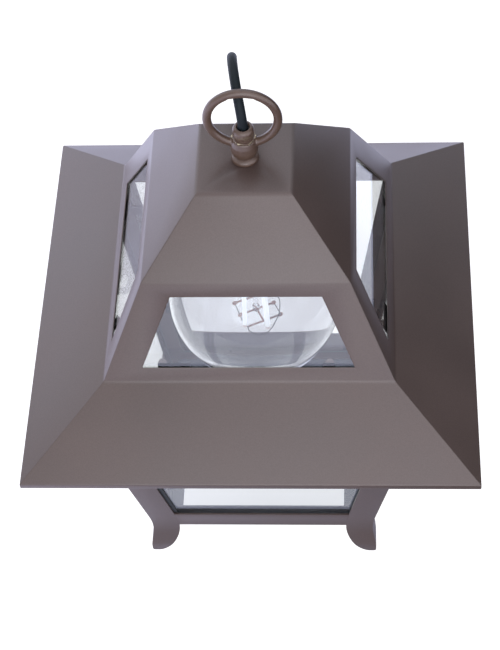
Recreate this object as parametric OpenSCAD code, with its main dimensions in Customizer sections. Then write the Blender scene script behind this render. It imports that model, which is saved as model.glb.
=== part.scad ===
// Outdoor hanging lantern: a square tapered body with four profile-cut legs and
// four glass sides, under a four-sided folded roof that has a glazed window in
// each face, a cast hanging loop on top, and a clear globe lamp hanging base up.
// Millimetres. The floor under the feet is z = 0 and the front faces -Y.

/* [Overall] */
// Height from the feet to the roof's flat top
lantern_h = 361; // [345:1:380]

/* [Roof] */
// Side of the square flat top
top_w = 62; // [56:1:70]
// Width at the foot of the upper slopes
slope_w = 138; // [130:1:146]
// Height of the upper slopes
slope_h = 46; // [42:1:50]
// Width at the foot of the window bands
band_w = 198; // [192:1:206]
// Height of the window bands
band_h = 70; // [66:1:76]
// Width across the eaves
eave_w = 313; // [300:1:330]
// Height of the skirt
skirt_h = 40; // [36:1:46]
// Height of the folded hem under the eaves
hem_h = 4.5; // [3:0.5:8]
// Thickness of the roof sheet
roof_sheet = 1.2; // [0.8:0.1:1.6]
// Inside radius of the soft bends between the roof's planes
bend_r = 5; // [2:0.5:8]
// Roof left at each side of a window, measured level
window_side = 23; // [20:1:28]
// Roof left above and below a window, measured in height
window_edge = 10; // [8:0.5:12]
// Overlap of a roof pane behind its opening
roof_pane_lap = 6.5; // [5:0.5:7]

/* [Body] */
// Width across the body at the top of the bottom rails
body_w = 175.5; // [170:0.5:182]
// Widening of the body's half-width for each millimetre of height
taper = 0.17; // [0.14:0.01:0.2]
// How far the waist above the feet is drawn in at each side
waist_in = 2.55; // [1.5:0.05:3.6]
// How far the feet stand out past the waist at each side
foot_out = 2.8; // [1.8:0.1:4]
// Height of the waist
waist_z = 30; // [28:1:33]
// Thickness of the body sheet
body_sheet = 1.5; // [1:0.1:2]
// Width of a leg's face
leg_w = 20.9; // [18:0.1:24]
// Height of a bottom rail
rail_h = 19; // [17:0.2:20]
// Height of the bottom rails' lower edge
rail_z = 34; // [33:0.2:36]
// Depth of the top rails under the skirt
top_rail_h = 12; // [10:1:16]
// Width of the rails' inward lips
lip_w = 9; // [8:0.5:11]

/* [Glass] */
// Thickness of the side panes and roof panes
pane_t = 3; // [2.5:0.5:4]
// Overlap of a side pane behind each leg
side_pane_lap = 7; // [5:0.5:8]
// Thickness of the black tape between the legs and the side panes
tape_t = 1; // [0.6:0.1:1.4]
// Thickness of the pane clips
clip_t = 0.8; // [0.6:0.1:1]

/* [Bottom tray] */
// Side of the square opening that the lamp passes through
tray_opening = 126; // [125.5:0.5:134]
// Height of the tray's floor, measured at its upper face
tray_z = 30; // [29:0.5:33]
// Thickness of the tray's sheet
tray_sheet = 1.2; // [1:0.1:1.5]

/* [Hanging loop] */
// Diameter of the loop's round bar
loop_bar = 6; // [5:0.5:7]
// Diameter of the loop, measured at the middle of the bar
loop_d = 46; // [43:1:50]
// Height of the loop's centre above the roof
loop_z = 36.8; // [35.5:0.1:38.5]
// Diameter of the ball that the loop is cast on
ball_d = 17; // [16.5:0.5:18]
// Diameter of the collar under the ball
collar_d = 18.4; // [17.6:0.2:20]
// Height of the collar
collar_h = 4.2; // [3.8:0.2:4.6]
// Diameter of the threaded nipple
nipple_d = 10; // [9.5:0.1:10.4]

/* [Lamp] */
// Diameter of the glass globe
globe_d = 124.4; // [118:0.2:125]
// Length of the lamp from its tip to the globe's bottom
lamp_l = 175; // [172:1:178]
// Diameter of the lamp's screw shell
shell_d = 26; // [25.6:0.1:26.4]
// Depth of the lamp's tip below the roof's flat top
lamp_drop = 32; // [31:0.5:36]
// Outside diameter of the porcelain socket
socket_d = 40; // [38:1:44]

/* [Supply cord] */
// Diameter of the round supply cord
cord_d = 6.6; // [6.2:0.1:6.8]
// Gap between neighbouring turns of the coil
cord_gap = 0.5; // [0.45:0.05:0.8]
// Radius of the coil's innermost turn
coil_in = 30; // [27:1:34]
// Turns in the coil
coil_turns = 4; // [4:2:6]

/* [Hidden] */
$fn = 48;
finish_color = [0.40, 0.35, 0.36];
steel_color = [0.62, 0.62, 0.63];
glass_color = [0.80, 0.86, 0.88, 0.35];
rubber_color = [0.08, 0.09, 0.09];
brass_color = [0.72, 0.58, 0.30];
copper_color = [0.72, 0.42, 0.28];
porcelain_color = [0.92, 0.91, 0.87];
// Far: longer than any cut has to reach
far = 400;
// Gap between fixed pieces that only rest against each other
seat_gap = 0.3;
// Gap between turning pieces, on the radius
run_gap = 0.05;
bend_steps = 6;
curve_steps = 12;

// Roof: heights of its bends and its half outline, from the top down
slope_z = lantern_h - slope_h;
band_z = slope_z - band_h;
eave_z = band_z - skirt_h;
hem_z = eave_z - hem_h;
roof_line = [[0, lantern_h], [top_w / 2, lantern_h], [slope_w / 2, slope_z],
             [band_w / 2, band_z], [eave_w / 2, eave_z], [eave_w / 2, hem_z]];
roof_radii = [0, bend_r, bend_r, bend_r, roof_sheet / 2, 0];
band_run = (band_w - slope_w) / 2;
band_angle = atan(band_run / band_h);
skirt_run = (eave_w - band_w) / 2;
skirt_angle = atan(skirt_h / skirt_run);

// Body: half-width at a height, straight above the rails and curved below
waist_w = body_w - 2 * waist_in;
foot_w = waist_w + 2 * foot_out;
function body_half(z) = body_w / 2 + taper * (z - rail_top);
rail_top = rail_z + rail_h;
taper_angle = atan(taper);
// The legs' top meets the underside of the skirt
leg_top = (band_z - roof_sheet / cos(skirt_angle)
    - tan(skirt_angle) * (body_w / 2 - taper * rail_top - band_w / 2))
    / (1 + tan(skirt_angle) * taper) - seat_gap;
foot_flare_z = 8;
body_line = distinct(concat(
    [[foot_w / 2, 0]],
    curve([foot_w / 2, foot_flare_z], [foot_w / 2 - 0.8, 16],
          [waist_w / 2, waist_z - 8], [waist_w / 2, waist_z], curve_steps),
    curve([waist_w / 2, waist_z], [waist_w / 2, waist_z + 8],
          [body_half(rail_top - 9), rail_top - 9], [body_half(rail_top), rail_top],
          curve_steps),
    [[body_half(leg_top), leg_top]]));

// Leg face outline, right-hand side: toe, belly and straight inner edge
toe_r = 2;
toe_x = foot_w / 2 - toe_r;
toe_flat = 3.5;
belly_x = waist_w / 2 - leg_w + 0.3;
leg_outline = distinct(concat(
    [[far / 2, leg_top], [far / 2, toe_r], [foot_w / 2, toe_r]],
    [for (a = [-30, -60]) [toe_x + toe_r * cos(a), toe_r + toe_r * sin(a)]],
    [[toe_x, 0]],
    curve([toe_x - toe_flat, 0], [toe_x - 12, 1], [belly_x, 17],
          [belly_x, waist_z], curve_steps),
    curve([belly_x, waist_z + 4], [belly_x, waist_z + 10],
          [body_half(rail_top - 10) - leg_w, rail_top - 10],
          [body_half(rail_top) - leg_w, rail_top], curve_steps),
    [[body_half(leg_top) - leg_w, leg_top]]));

// Half-width of the body at the rails' lower edge, on the curve
rail_half = lookup(rail_z, [for (q = body_line) [q[1], q[0]]]);

// Side panes: outer face stands behind the legs by the tape's thickness
side_pane_in = body_sheet / cos(taper_angle) + tape_t / cos(taper_angle);
side_pane_z0 = rail_z + body_sheet + 0.4;
side_pane_z1 = leg_top - body_sheet - 0.5;

// Roof windows in the band's own plane, s up the slope from the band's foot
band_slant = band_h / cos(band_angle);
window_s0 = window_edge / cos(band_angle);
window_s1 = band_slant - window_edge / cos(band_angle);
function band_half(s) = band_w / 2 - s * sin(band_angle);
roof_pane_in = roof_sheet + seat_gap;
// Places along a window, counted from its corners: low clips, high clips and pads
roof_clip_in = [13.6, 16.9];
roof_clip_high_in = 9;
roof_pad_in = [10.2, 13.5];
roof_pad_w = [22.2, 8.1];
roof_clip_w = 6;
roof_clip_show = 5;
// Length of a clip's foot, short of the bend beyond the window's edge
roof_clip_foot = window_s0 - roof_pane_lap - 1.6;

// Bottom tray
tray_wall = rail_half - body_sheet - lip_w - 1.5;
tray_flange = rail_half - body_sheet - seat_gap - 0.6;
tray_flange_top = rail_z;
tray_screw_x = 32;
tray_screw_r = 1.5;
tray_screw_y = tray_wall + 3.2;

// Hardware along the lantern's axis, from the roof's flat top
plate_under = lantern_h - roof_sheet;
nipple_r = nipple_d / 2;
nipple_bore = cord_d / 2 + 0.7;
nut_h = 3.6;
washer_t = 0.8;
strap_t = 1.5;
strap_top = plate_under - washer_t - nut_h;
nipple_z0 = strap_top - strap_t - nut_h - 1;
nipple_z1 = lantern_h + 10;
ball_z = lantern_h + 10;
loop_seat_z = lantern_h + 19;
boss_r = 7.7;
loop_base_z = lantern_h + collar_h + seat_gap;
hex_flats = 14.6;
hex_top = loop_seat_z + 1.5;
dome_top = hex_top + 9;
// Free cord's lower end, inside the grip nut
cord_start_z = lantern_h + 19;

// Lamp and socket, base up
tip_z = lantern_h - lamp_drop;
globe_r = globe_d / 2;
globe_z = tip_z - lamp_l + globe_r;
glass_t = 1;
neck_r = shell_d / 2 - 0.8;
shell_top = tip_z - 3;
shell_len = 24;
shell_t = 0.4;
socket_top = tip_z + 11;
socket_h = 43;
socket_rim = 18;
socket_cavity_r = shell_d / 2 + 1.6;
contact_t = 0.5;
strap_w = 14;
strap_half = 19;
strap_foot = 9;
bracket_screw_x = 14;

// Free cord: hand-chosen points from inside the grip nut to the coil's start
cord_r = cord_d / 2;
cord_sides = 8;
cord_route = [
    [0, 0, 380], [0, 0, 389], [-0.8, 1.8, 398.2], [-2.2, 6.6, 406.3],
    [-3.9, 13.8, 412.2], [-5.4, 22.6, 415.3], [-6.7, 32, 415.1], [-7.6, 40.8, 411.6],
    [-8.2, 48.2, 405.4], [-8.6, 53.6, 397], [-8.8, 57.4, 387], [-9, 60.8, 375.5],
    [-9, 64, 363], [-9.5, 67.5, 350], [-10, 71, 337], [-10.5, 75, 322],
    [-11, 80, 306], [-11.5, 86.5, 290], [-12, 93, 275], [-12.5, 98.5, 261.5],
    [-13.5, 105.5, 250], [-13.5, 116, 240.5], [-14.5, 130, 231.5], [-15, 143.5, 223],
    [-15.5, 153, 216], [-16.5, 160, 207.5], [-16.5, 164, 195], [-17.5, 165.5, 178],
    [-17.5, 166, 160], [-18, 166, 142], [-19, 165.5, 124], [-19, 165, 106],
    [-19.5, 164.5, 88], [-19.5, 164.5, 70], [-20, 165, 52], [-20, 166.5, 36],
    [-20, 172, 20.5], [-20, 182, 9], [-20, 196, 4], [-20, 209, 3.3],
    [-20, 217, 3.3]];
coil_pitch = cord_d + cord_gap;
coil_out = coil_in + coil_pitch * coil_turns / 2;
coil_start = cord_route[len(cord_route) - 1];
coil_centre = [coil_start[0] + coil_out, coil_start[1] + cord_d];
rings_per_turn = 24;
coil_sides = 6;
function coil_radius(u) = coil_in + coil_pitch * abs(u - coil_turns / 2);
function ease(t) = t <= 0 ? 0 : t >= 1 ? 1 : t * t * (3 - 2 * t);
function coil_point(u) = [
    coil_centre[0] - coil_radius(u) * cos(360 * u),
    coil_centre[1] + coil_radius(u) * sin(360 * u),
    cord_r + coil_pitch * ease(2 * (u - coil_turns / 2) + 0.5)];
coil_path = concat([coil_start],
    [for (i = [0 : coil_turns * rings_per_turn]) coil_point(i / rings_per_turn)],
    [[coil_start[0], coil_centre[1] + cord_d, cord_r + coil_pitch]]);
tail_start = coil_path[len(coil_path) - 1];
cord_tail_route = [tail_start, [-20.5, 240, 9.8], [-23.5, 250, 8], [-30, 259, 5.5],
    [-40, 265, 3.8], [-52, 267, 3.3], [-62, 267, 3.3]];
tail_end = cord_tail_route[len(cord_tail_route) - 1];
// Least distance between the coil's neighbouring and stacked turns, less the cord
coil_self_gap = min([for (i = [0 : coil_turns * rings_per_turn - rings_per_turn / 2])
    min([for (j = [i + rings_per_turn / 2 : coil_turns * rings_per_turn])
        norm(coil_path[i + 1] - coil_path[j + 1])])]) - cord_d;
echo(coil_self_gap = coil_self_gap);
echo(cord_length = path_length(cord_route) + path_length(coil_path)
    + path_length(cord_tail_route));

function path_length(p) = len(p) < 2 ? 0
    : sumlist([for (i = [1 : len(p) - 1]) norm(p[i] - p[i - 1])]);
function sumlist(v, i = 0) = i >= len(v) ? 0 : v[i] + sumlist(v, i + 1);

// Cubic curve between two points, with its two control points
function curve(a, b, c, d, n) = [for (i = [0 : n]) let (t = i / n)
    a * pow(1 - t, 3) + 3 * b * t * pow(1 - t, 2) + 3 * c * t * t * (1 - t) + d * t * t * t];

// A line without its repeated points
function distinct(p) = [for (i = [0 : len(p) - 1])
    if (i == 0 || norm(p[i] - p[max(i - 1, 0)]) > 0.001) p[i]];

function unit(v) = v / norm(v);
function left_of(v) = [-v[1], v[0]];
// A line of points moved sideways by d, with its corners kept sharp
function shifted(p, d) = [for (i = [0 : len(p) - 1])
    let (u = i == 0 ? unit(p[1] - p[0]) : unit(p[i] - p[i - 1]),
         v = i == len(p) - 1 ? u : unit(p[i + 1] - p[i]),
         a = left_of(u), b = left_of(v))
    p[i] + (a + b) * d / (1 + a * b)];
// A line of points with its corners rounded to the given radii
function rounded(p, r) = [for (i = [0 : len(p) - 1])
    let (inner = i > 0 && i < len(p) - 1 && r[i] > 0)
    each inner ? corner_arc(p[i - 1], p[i], p[i + 1], r[i]) : [p[i]]];
function corner_arc(a, b, c, r) =
    let (u = unit(a - b), v = unit(c - b), half = acos(u * v) / 2,
         centre = b + unit(u + v) * r / sin(half),
         from = b + u * r / tan(half), to = b + v * r / tan(half),
         a0 = atan2(from[1] - centre[1], from[0] - centre[0]),
         turn = atan2(to[1] - centre[1], to[0] - centre[0]) - a0,
         sweep = turn > 180 ? turn - 360 : turn < -180 ? turn + 360 : turn)
    [for (i = [0 : bend_steps]) let (t = a0 + sweep * i / bend_steps)
        centre + r * [cos(t), sin(t)]];
// Radii of a bend on the two faces of the sheet: the outer one is larger
function bend_radii(p, r, side) = [for (i = [0 : len(p) - 1])
    i == 0 || i == len(p) - 1 || r[i] == 0 ? 0
    : let (u = p[i] - p[i - 1], v = p[i + 1] - p[i],
           outward = u[0] * v[1] - u[1] * v[0] < 0 ? 1 : -1)
      r[i] + (side * outward > 0 ? roof_sheet : 0)];

// A half outline mirrored about the axis
function both_sides(p) = concat(p, [for (i = [len(p) - 1 : -1 : 0]) [-p[i][0], p[i][1]]]);

// A square solid whose half-width follows the outline
module four_sided(half) {
    intersection() {
        rotate([90, 0, 0]) linear_extrude(far, center = true) polygon(both_sides(half));
        rotate([90, 0, 90]) linear_extrude(far, center = true) polygon(both_sides(half));
    }
}

// Places a flat piece on one of the four sides: i = 0 front, 1 right, 2 back, 3 left.
// Its drawing plane leans by the angle, with x level, y up the slope and z outwards.
module on_side(i, y, z, angle) {
    rotate([0, 0, 90 * i]) translate([0, -y, z]) rotate([90 - angle, 0, 0]) children();
}

// A round rod between two points
module rod(a, b, r) {
    v = b - a;
    translate(a) rotate([0, acos(v[2] / norm(v)), atan2(v[1], v[0])])
        cylinder(h = norm(v), r = r, $fn = 16);
}

// A bent wire through the points
module wire(p, r) {
    for (i = [1 : len(p) - 1]) rod(p[i - 1], p[i], r);
    if (len(p) > 2) for (i = [1 : len(p) - 2]) translate(p[i])
        sphere(r = 1.04 * r, $fn = 16);
}

// A round tube swept along a path of points, as one skin with flat ends
function path_dir(p, i) = unit(p[min(i + 1, len(p) - 1)] - p[max(i - 1, 0)]);
function carried(p, i) = i == 0 ? start_side(path_dir(p, 0))
    : let (s = carried(p, i - 1), d = path_dir(p, i)) unit(s - d * (s * d));
function start_side(d) = unit(cross(d, abs(d[0]) > 0.9 ? [0, 1, 0] : [1, 0, 0]));
function side_list(p, i, s, out) = i >= len(p) ? out
    : let (d = path_dir(p, i), n = unit(s - d * (s * d)))
      side_list(p, i + 1, n, concat(out, [n]));
module swept_tube(p, r, sides, first_dir = undef, last_dir = undef) {
    ends = [is_undef(first_dir) ? path_dir(p, 0) : first_dir,
            is_undef(last_dir) ? path_dir(p, len(p) - 1) : last_dir];
    side = side_list(p, 0, start_side(ends[0]), []);
    last = len(p) - 1;
    rings = [for (i = [0 : last])
        let (d = i == 0 ? ends[0] : i == last ? ends[1] : path_dir(p, i),
             n = unit(side[i] - d * (side[i] * d)), m = cross(d, n))
        each [for (k = [0 : sides - 1]) let (a = 360 * k / sides)
            p[i] + r * (n * cos(a) + m * sin(a))]];
    quads = [for (i = [0 : last - 1]) each [for (k = [0 : sides - 1])
        let (a = i * sides + k, b = i * sides + (k + 1) % sides)
        each [[a, a + sides, b], [b, a + sides, b + sides]]]];
    caps = [for (k = [1 : sides - 2]) each [[0, k, k + 1],
        [last * sides, last * sides + k + 1, last * sides + k]]];
    polyhedron(points = rings, faces = concat(quads, caps), convexity = 10);
}

// Roof: one folded and welded sheet
module window_shape(grow) {
    polygon([[-(band_half(window_s0) - window_side + grow), window_s0 - grow],
             [band_half(window_s0) - window_side + grow, window_s0 - grow],
             [band_half(window_s1) - window_side + grow, window_s1 + grow],
             [-(band_half(window_s1) - window_side + grow), window_s1 + grow]]);
}
module roof_shell() {
    inner = rounded(shifted(roof_line, -roof_sheet), bend_radii(roof_line, roof_radii, -1));
    outer = rounded(roof_line, bend_radii(roof_line, roof_radii, 1));
    low = [[eave_w / 2 - roof_sheet, hem_z - 1]];
    color(finish_color) difference() {
        four_sided(outer);
        four_sided(concat([[0, plate_under]], [for (i = [1 : len(inner) - 1]) inner[i]], low));
        for (i = [0 : 3]) on_side(i, band_w / 2, band_z, band_angle)
            linear_extrude(6 * roof_sheet, center = true) window_shape(0);
        translate([0, 0, plate_under - 1])
            cylinder(h = roof_sheet + 2, r = nipple_r + 0.25);
    }
}

// Roof brackets: welded under the skirt, one in the middle of each side
bracket_w = 26;
bracket_in = 12;
bracket_y = body_half(leg_top) - body_sheet - bracket_in;
bracket_foot = 20;
module roof_brackets() {
    reach = bracket_y + bracket_foot / 2;
    under = band_z - (reach - band_w / 2) * tan(skirt_angle)
        - roof_sheet / cos(skirt_angle) - seat_gap;
    color(finish_color) for (i = [0 : 3]) rotate([0, 0, 90 * i])
        difference() {
            translate([-bracket_w / 2, -reach, leg_top])
                cube([bracket_w, bracket_foot, under - leg_top]);
            translate([0, -bracket_y, leg_top - 1])
                cylinder(h = under - leg_top + 2, r = thumb_r + 0.05);
        }
}
thumb_r = 2.5;
thumb_head_r = 5.5;
thumb_head_h = 7;
module roof_thumbscrews() {
    color(steel_color) for (i = [0 : 3]) rotate([0, 0, 90 * i])
        translate([0, -bracket_y, leg_top - body_sheet]) {
            translate([0, 0, -thumb_head_h]) difference() {
                cylinder(h = thumb_head_h, r = thumb_head_r);
                for (a = [0 : 30 : 330]) rotate([0, 0, a])
                    translate([thumb_head_r + 0.6, 0, -1])
                        cylinder(h = thumb_head_h + 2, r = 1.2, $fn = 16);
            }
            translate([0, 0, -0.5]) cylinder(h = body_sheet + 3.2, r = thumb_r);
        }
}

// Roof glass
module roof_pane(i) {
    color(glass_color) on_side(i, band_w / 2, band_z, band_angle)
        translate([0, 0, -roof_pane_in - pane_t]) linear_extrude(pane_t)
            window_shape(roof_pane_lap);
}
module roof_pane_front() { roof_pane(0); }
module roof_pane_right() { roof_pane(1); }
module roof_pane_back() { roof_pane(2); }
module roof_pane_left() { roof_pane(3); }

// Clips that hold the roof glass: a foot on the sheet, a step and a round-ended finger
pad_t = 0.6;
module roof_clip(edge_s, up, show) {
    reach = roof_pane_lap + show;
    step = roof_pane_in + pane_t + pad_t - roof_sheet;
    translate([0, edge_s, -roof_sheet]) mirror([0, up > 0 ? 0 : 1, 0]) {
        translate([-roof_clip_w / 2, -roof_pane_lap - 0.4 - roof_clip_foot, -clip_t])
            cube([roof_clip_w, roof_clip_foot, clip_t]);
        translate([-roof_clip_w / 2, -roof_pane_lap - 0.4 - clip_t, -step - clip_t])
            cube([roof_clip_w, clip_t, step + clip_t]);
        translate([0, 0, -step - clip_t]) linear_extrude(clip_t) union() {
            translate([-roof_clip_w / 2, -roof_pane_lap - 0.4 - clip_t])
                square([roof_clip_w, reach + 0.4 + clip_t - roof_clip_w / 2]);
            translate([0, show - roof_clip_w / 2])
                circle(d = roof_clip_w, $fn = 24);
        }
    }
}
module roof_pane_clips() {
    color(finish_color) for (i = [0 : 3]) on_side(i, band_w / 2, band_z, band_angle)
        for (k = [0, 1]) mirror([1 - k, 0, 0]) {
            translate([band_half(window_s0) - window_side - roof_clip_in[k], 0, 0])
                roof_clip(window_s0, 1, roof_clip_show);
            translate([band_half(window_s1) - window_side - roof_clip_high_in, 0, 0])
                roof_clip(window_s1, -1, -1);
        }
}
module roof_pane_pads() {
    color(rubber_color) for (i = [0 : 3]) on_side(i, band_w / 2, band_z, band_angle)
        for (k = [0, 1]) mirror([1 - k, 0, 0])
            translate([band_half(window_s0) - window_side - roof_pad_in[k] - roof_pad_w[k] / 2,
                    window_s0 - roof_pane_lap / 2 + 1, -roof_pane_in - pane_t - pad_t / 2])
                cube([roof_pad_w[k], roof_pane_lap + 1.6, pad_t], center = true);
}

// Body sheet between its outer and inner faces
wall_outer = concat([[0, 0]], body_line, [[0, leg_top]]);
wall_inner = concat([[0, -1], [foot_w / 2 - body_sheet, -1]], shifted(body_line, body_sheet),
    [[body_half(leg_top) - body_sheet, leg_top + 1], [0, leg_top + 1]]);
module body_shell() {
    difference() {
        four_sided(wall_outer);
        four_sided(wall_inner);
    }
}
// One wall of the body, the same on the front and the back, with its full width
module front_walls() {
    intersection() {
        rotate([90, 0, 90]) linear_extrude(far, center = true) difference() {
            polygon(both_sides(wall_outer));
            polygon(both_sides(wall_inner));
        }
        rotate([90, 0, 0]) linear_extrude(far, center = true) polygon(both_sides(wall_outer));
    }
}
// A folded leg: each flange is cut to the leg's outline in its own plane
module leg(sx, sy) {
    color(finish_color) union() {
        intersection() {
            front_walls();
            rotate([90, 0, 0]) linear_extrude(far, center = true) leg_shape(sx);
            translate([-far / 2, sy > 0 ? 1 : -far - 1, -1]) cube([far, far, far]);
        }
        intersection() {
            rotate([0, 0, 90]) front_walls();
            rotate([90, 0, 90]) linear_extrude(far, center = true) leg_shape(sy);
            translate([sx > 0 ? 1 : -far - 1, -far / 2, -1]) cube([far, far, far]);
        }
    }
}
module leg_shape(s) {
    polygon([for (q = leg_outline) [s * q[0], q[1]]]);
}
module leg_front_left() { leg(-1, -1); }
module leg_front_right() { leg(1, -1); }
module leg_back_right() { leg(1, 1); }
module leg_back_left() { leg(-1, 1); }

// A level strip of the body's sheet on one side, cut to the legs' edges
module strip_between_legs(z0, z1) {
    intersection() {
        body_shell();
        translate([-far / 2, -far, z0]) cube([far, far, z1 - z0]);
        rotate([90, 0, 0]) linear_extrude(far) difference() {
            translate([-far / 2, z0]) square([far, z1 - z0]);
            leg_shape(1);
            leg_shape(-1);
        }
    }
}
// A mitred lip turned inwards behind the strip, at height z
module lip(z, t, out, width) {
    translate([0, 0, z]) linear_extrude(t)
        polygon([[-out, -out], [out, -out], [out - width, -out + width],
                 [-out + width, -out + width]]);
}
rail_lip_out = rail_half - body_sheet - 0.6;
module rail(i) {
    color(finish_color) rotate([0, 0, 90 * i]) difference() {
        union() {
            strip_between_legs(rail_z, rail_top);
            lip(rail_z, body_sheet, rail_lip_out, lip_w);
            translate([-(belly_x - 3), -rail_lip_out - 1.7, rail_z])
                cube([2 * (belly_x - 3), 2.5, body_sheet]);
        }
        for (x = [-tray_screw_x, tray_screw_x])
            translate([x, -tray_screw_y, rail_z - 1])
                cylinder(h = body_sheet + 2, r = tray_screw_r + 0.1);
    }
}
module rail_front() { rail(0); }
module rail_right() { rail(1); }
module rail_back() { rail(2); }
module rail_left() { rail(3); }

// Top frame: four short rails under the skirt with one square flange
frame_out = body_half(leg_top) - body_sheet - 0.3;
frame_strip = body_half(leg_top - top_rail_h) - leg_w - 4;
module top_frame() {
    color(finish_color) {
        for (i = [0 : 3]) rotate([0, 0, 90 * i]) {
            strip_between_legs(leg_top - top_rail_h, leg_top);
            translate([-frame_strip, -body_half(leg_top) + body_sheet - 0.6,
                leg_top - body_sheet]) cube([2 * frame_strip, 2, body_sheet]);
        }
        difference() {
            translate([0, 0, leg_top - body_sheet]) linear_extrude(body_sheet)
                difference() {
                    square(2 * frame_out, center = true);
                    square(2 * (bracket_y - 9), center = true);
                }
            for (i = [0 : 3]) rotate([0, 0, 90 * i])
                translate([0, -bracket_y, leg_top - body_sheet - 1])
                    cylinder(h = body_sheet + 2, r = thumb_r + 0.3);
        }
    }
}

// Side glass, tape and clips, in the tapered side's own plane
side_slant = 1 / cos(taper_angle);
function pane_half(z, lap) = body_half(z) - leg_w + lap;
module side_pane(i) {
    color(glass_color)
        on_side(i, body_half(side_pane_z0) - side_pane_in, side_pane_z0, -taper_angle)
            translate([0, 0, -pane_t]) linear_extrude(pane_t)
                polygon([[-pane_half(side_pane_z0, side_pane_lap), 0],
                         [pane_half(side_pane_z0, side_pane_lap), 0],
                         [pane_half(side_pane_z1, side_pane_lap),
                          (side_pane_z1 - side_pane_z0) * side_slant],
                         [-pane_half(side_pane_z1, side_pane_lap),
                          (side_pane_z1 - side_pane_z0) * side_slant]]);
}
module side_pane_front() { side_pane(0); }
module side_pane_right() { side_pane(1); }
module side_pane_back() { side_pane(2); }
module side_pane_left() { side_pane(3); }

tape_show = 2.6;
tape_z1 = leg_top - top_rail_h - 0.5;
module tape_strip(show) {
    polygon([[pane_half(side_pane_z0, -show), 0],
             [pane_half(side_pane_z0, side_pane_lap), 0],
             [pane_half(tape_z1, side_pane_lap), (tape_z1 - side_pane_z0) * side_slant],
             [pane_half(tape_z1, -show), (tape_z1 - side_pane_z0) * side_slant]]);
}
module glazing_tape() {
    color(rubber_color) for (i = [0 : 3])
        on_side(i, body_half(side_pane_z0) - side_pane_in, side_pane_z0, -taper_angle)
            linear_extrude(tape_t - 0.1) {
                tape_strip(0);
                mirror([1, 0]) tape_strip(tape_show);
            }
}

side_clip_w = 8;
side_clip_foot = 5;
side_clip_z = [85, 185];
module side_pane_clips() {
    color(steel_color) for (i = [0 : 3]) for (z = side_clip_z)
        on_side(i, body_half(z) - body_sheet * side_slant, z, -taper_angle)
            for (s = [-1, 1]) scale([s, 1, 1])
                translate([pane_half(z, side_pane_lap), 0, 0]) side_clip_shape();
}
// The clip beside the pane's edge at x = 0: foot outwards, finger over the glass
module side_clip_shape() {
    back = tape_t + pane_t + 0.2;
    edge = 1.2;
    translate([edge, -side_clip_w / 2, -clip_t]) cube([side_clip_foot, side_clip_w, clip_t]);
    translate([edge, -side_clip_w / 2, -back - clip_t]) cube([clip_t, side_clip_w, back]);
    translate([-side_pane_lap + 1.5, -side_clip_w / 2, -back - clip_t])
        cube([side_pane_lap - 1.5 + edge + clip_t, side_clip_w, clip_t]);
}

// Bottom tray: a hat section with the lamp opening, screwed up under the rails' lips
module bottom_tray() {
    wall_top = tray_flange_top;
    color(finish_color) difference() {
        union() {
            translate([0, 0, tray_z - tray_sheet]) linear_extrude(wall_top - tray_z + tray_sheet)
                difference() {
                    square(2 * tray_wall, center = true);
                    square(2 * (tray_wall - tray_sheet), center = true);
                }
            translate([0, 0, tray_z - tray_sheet]) linear_extrude(tray_sheet) difference() {
                square(2 * tray_wall, center = true);
                square(tray_opening, center = true);
            }
            translate([0, 0, wall_top - tray_sheet]) linear_extrude(tray_sheet) difference() {
                square(2 * tray_flange, center = true);
                square(2 * (tray_wall - tray_sheet), center = true);
            }
        }
        for (i = [0 : 3]) rotate([0, 0, 90 * i]) for (x = [-tray_screw_x, tray_screw_x])
            translate([x, -tray_screw_y, wall_top - tray_sheet - 1])
                cylinder(h = tray_sheet + 2, r = tray_screw_r + 0.25);
    }
}
tray_screw_head = 2.8;
module tray_screws() {
    color(steel_color) for (i = [0 : 3]) rotate([0, 0, 90 * i])
        for (x = [-tray_screw_x, tray_screw_x])
            translate([x, -tray_screw_y, tray_flange_top - tray_sheet]) {
                mirror([0, 0, 1]) difference() {
                    intersection() {
                        cylinder(h = 2, r = tray_screw_head);
                        translate([0, 0, -2.2]) sphere(r = 4.4);
                    }
                    for (a = [0, 90]) rotate([0, 0, a]) translate([-1.5, -0.3, 1.2])
                        cube([3, 0.6, 2]);
                }
                translate([0, 0, -0.2]) cylinder(h = tray_sheet + body_sheet, r = tray_screw_r);
            }
}

// Collar under the loop: turned, widest at its foot
module loop_collar() {
    foot_r = collar_d / 2;
    neck_r = ball_d / 2 - 2;
    color(finish_color) translate([0, 0, lantern_h]) difference() {
        rotate_extrude() polygon(concat([[0, 0], [foot_r - 0.4, 0], [foot_r, 0.4]],
            curve([foot_r, 0.8], [foot_r, 3], [neck_r + 1.2, collar_h - 1],
                  [neck_r, collar_h], 10),
            [[0, collar_h]]));
        translate([0, 0, -1]) cylinder(h = collar_h + 2, r = nipple_r + 0.1);
    }
}

// Hanging loop: a ring of round bar cast in one piece with its ball and its seat
module hanging_loop() {
    ball_r = ball_d / 2;
    color(finish_color) difference() {
        union() {
            translate([0, 0, lantern_h + loop_z]) rotate([90, 0, 0])
                rotate_extrude($fn = 96) translate([loop_d / 2, 0])
                    circle(d = loop_bar, $fn = 32);
            rotate_extrude() intersection() {
                translate([0, ball_z]) circle(r = ball_r, $fn = 64);
                translate([0, loop_base_z]) square([ball_r, loop_seat_z - loop_base_z]);
            }
            rotate_extrude() polygon(concat([[0, ball_z]],
                curve([ball_r, ball_z], [ball_r, ball_z + 4],
                      [boss_r + 0.2, loop_seat_z - 4], [boss_r, loop_seat_z - 0.4], 8),
                [[boss_r - 0.4, loop_seat_z], [0, loop_seat_z]]));
        }
        translate([0, 0, lantern_h])
            cylinder(h = loop_seat_z - lantern_h + 1, r = nipple_r + run_gap);
        translate([0, 0, loop_seat_z]) cylinder(h = loop_d - 8, r = hex_flats / sqrt(3) + 0.3);
    }
}
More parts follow.
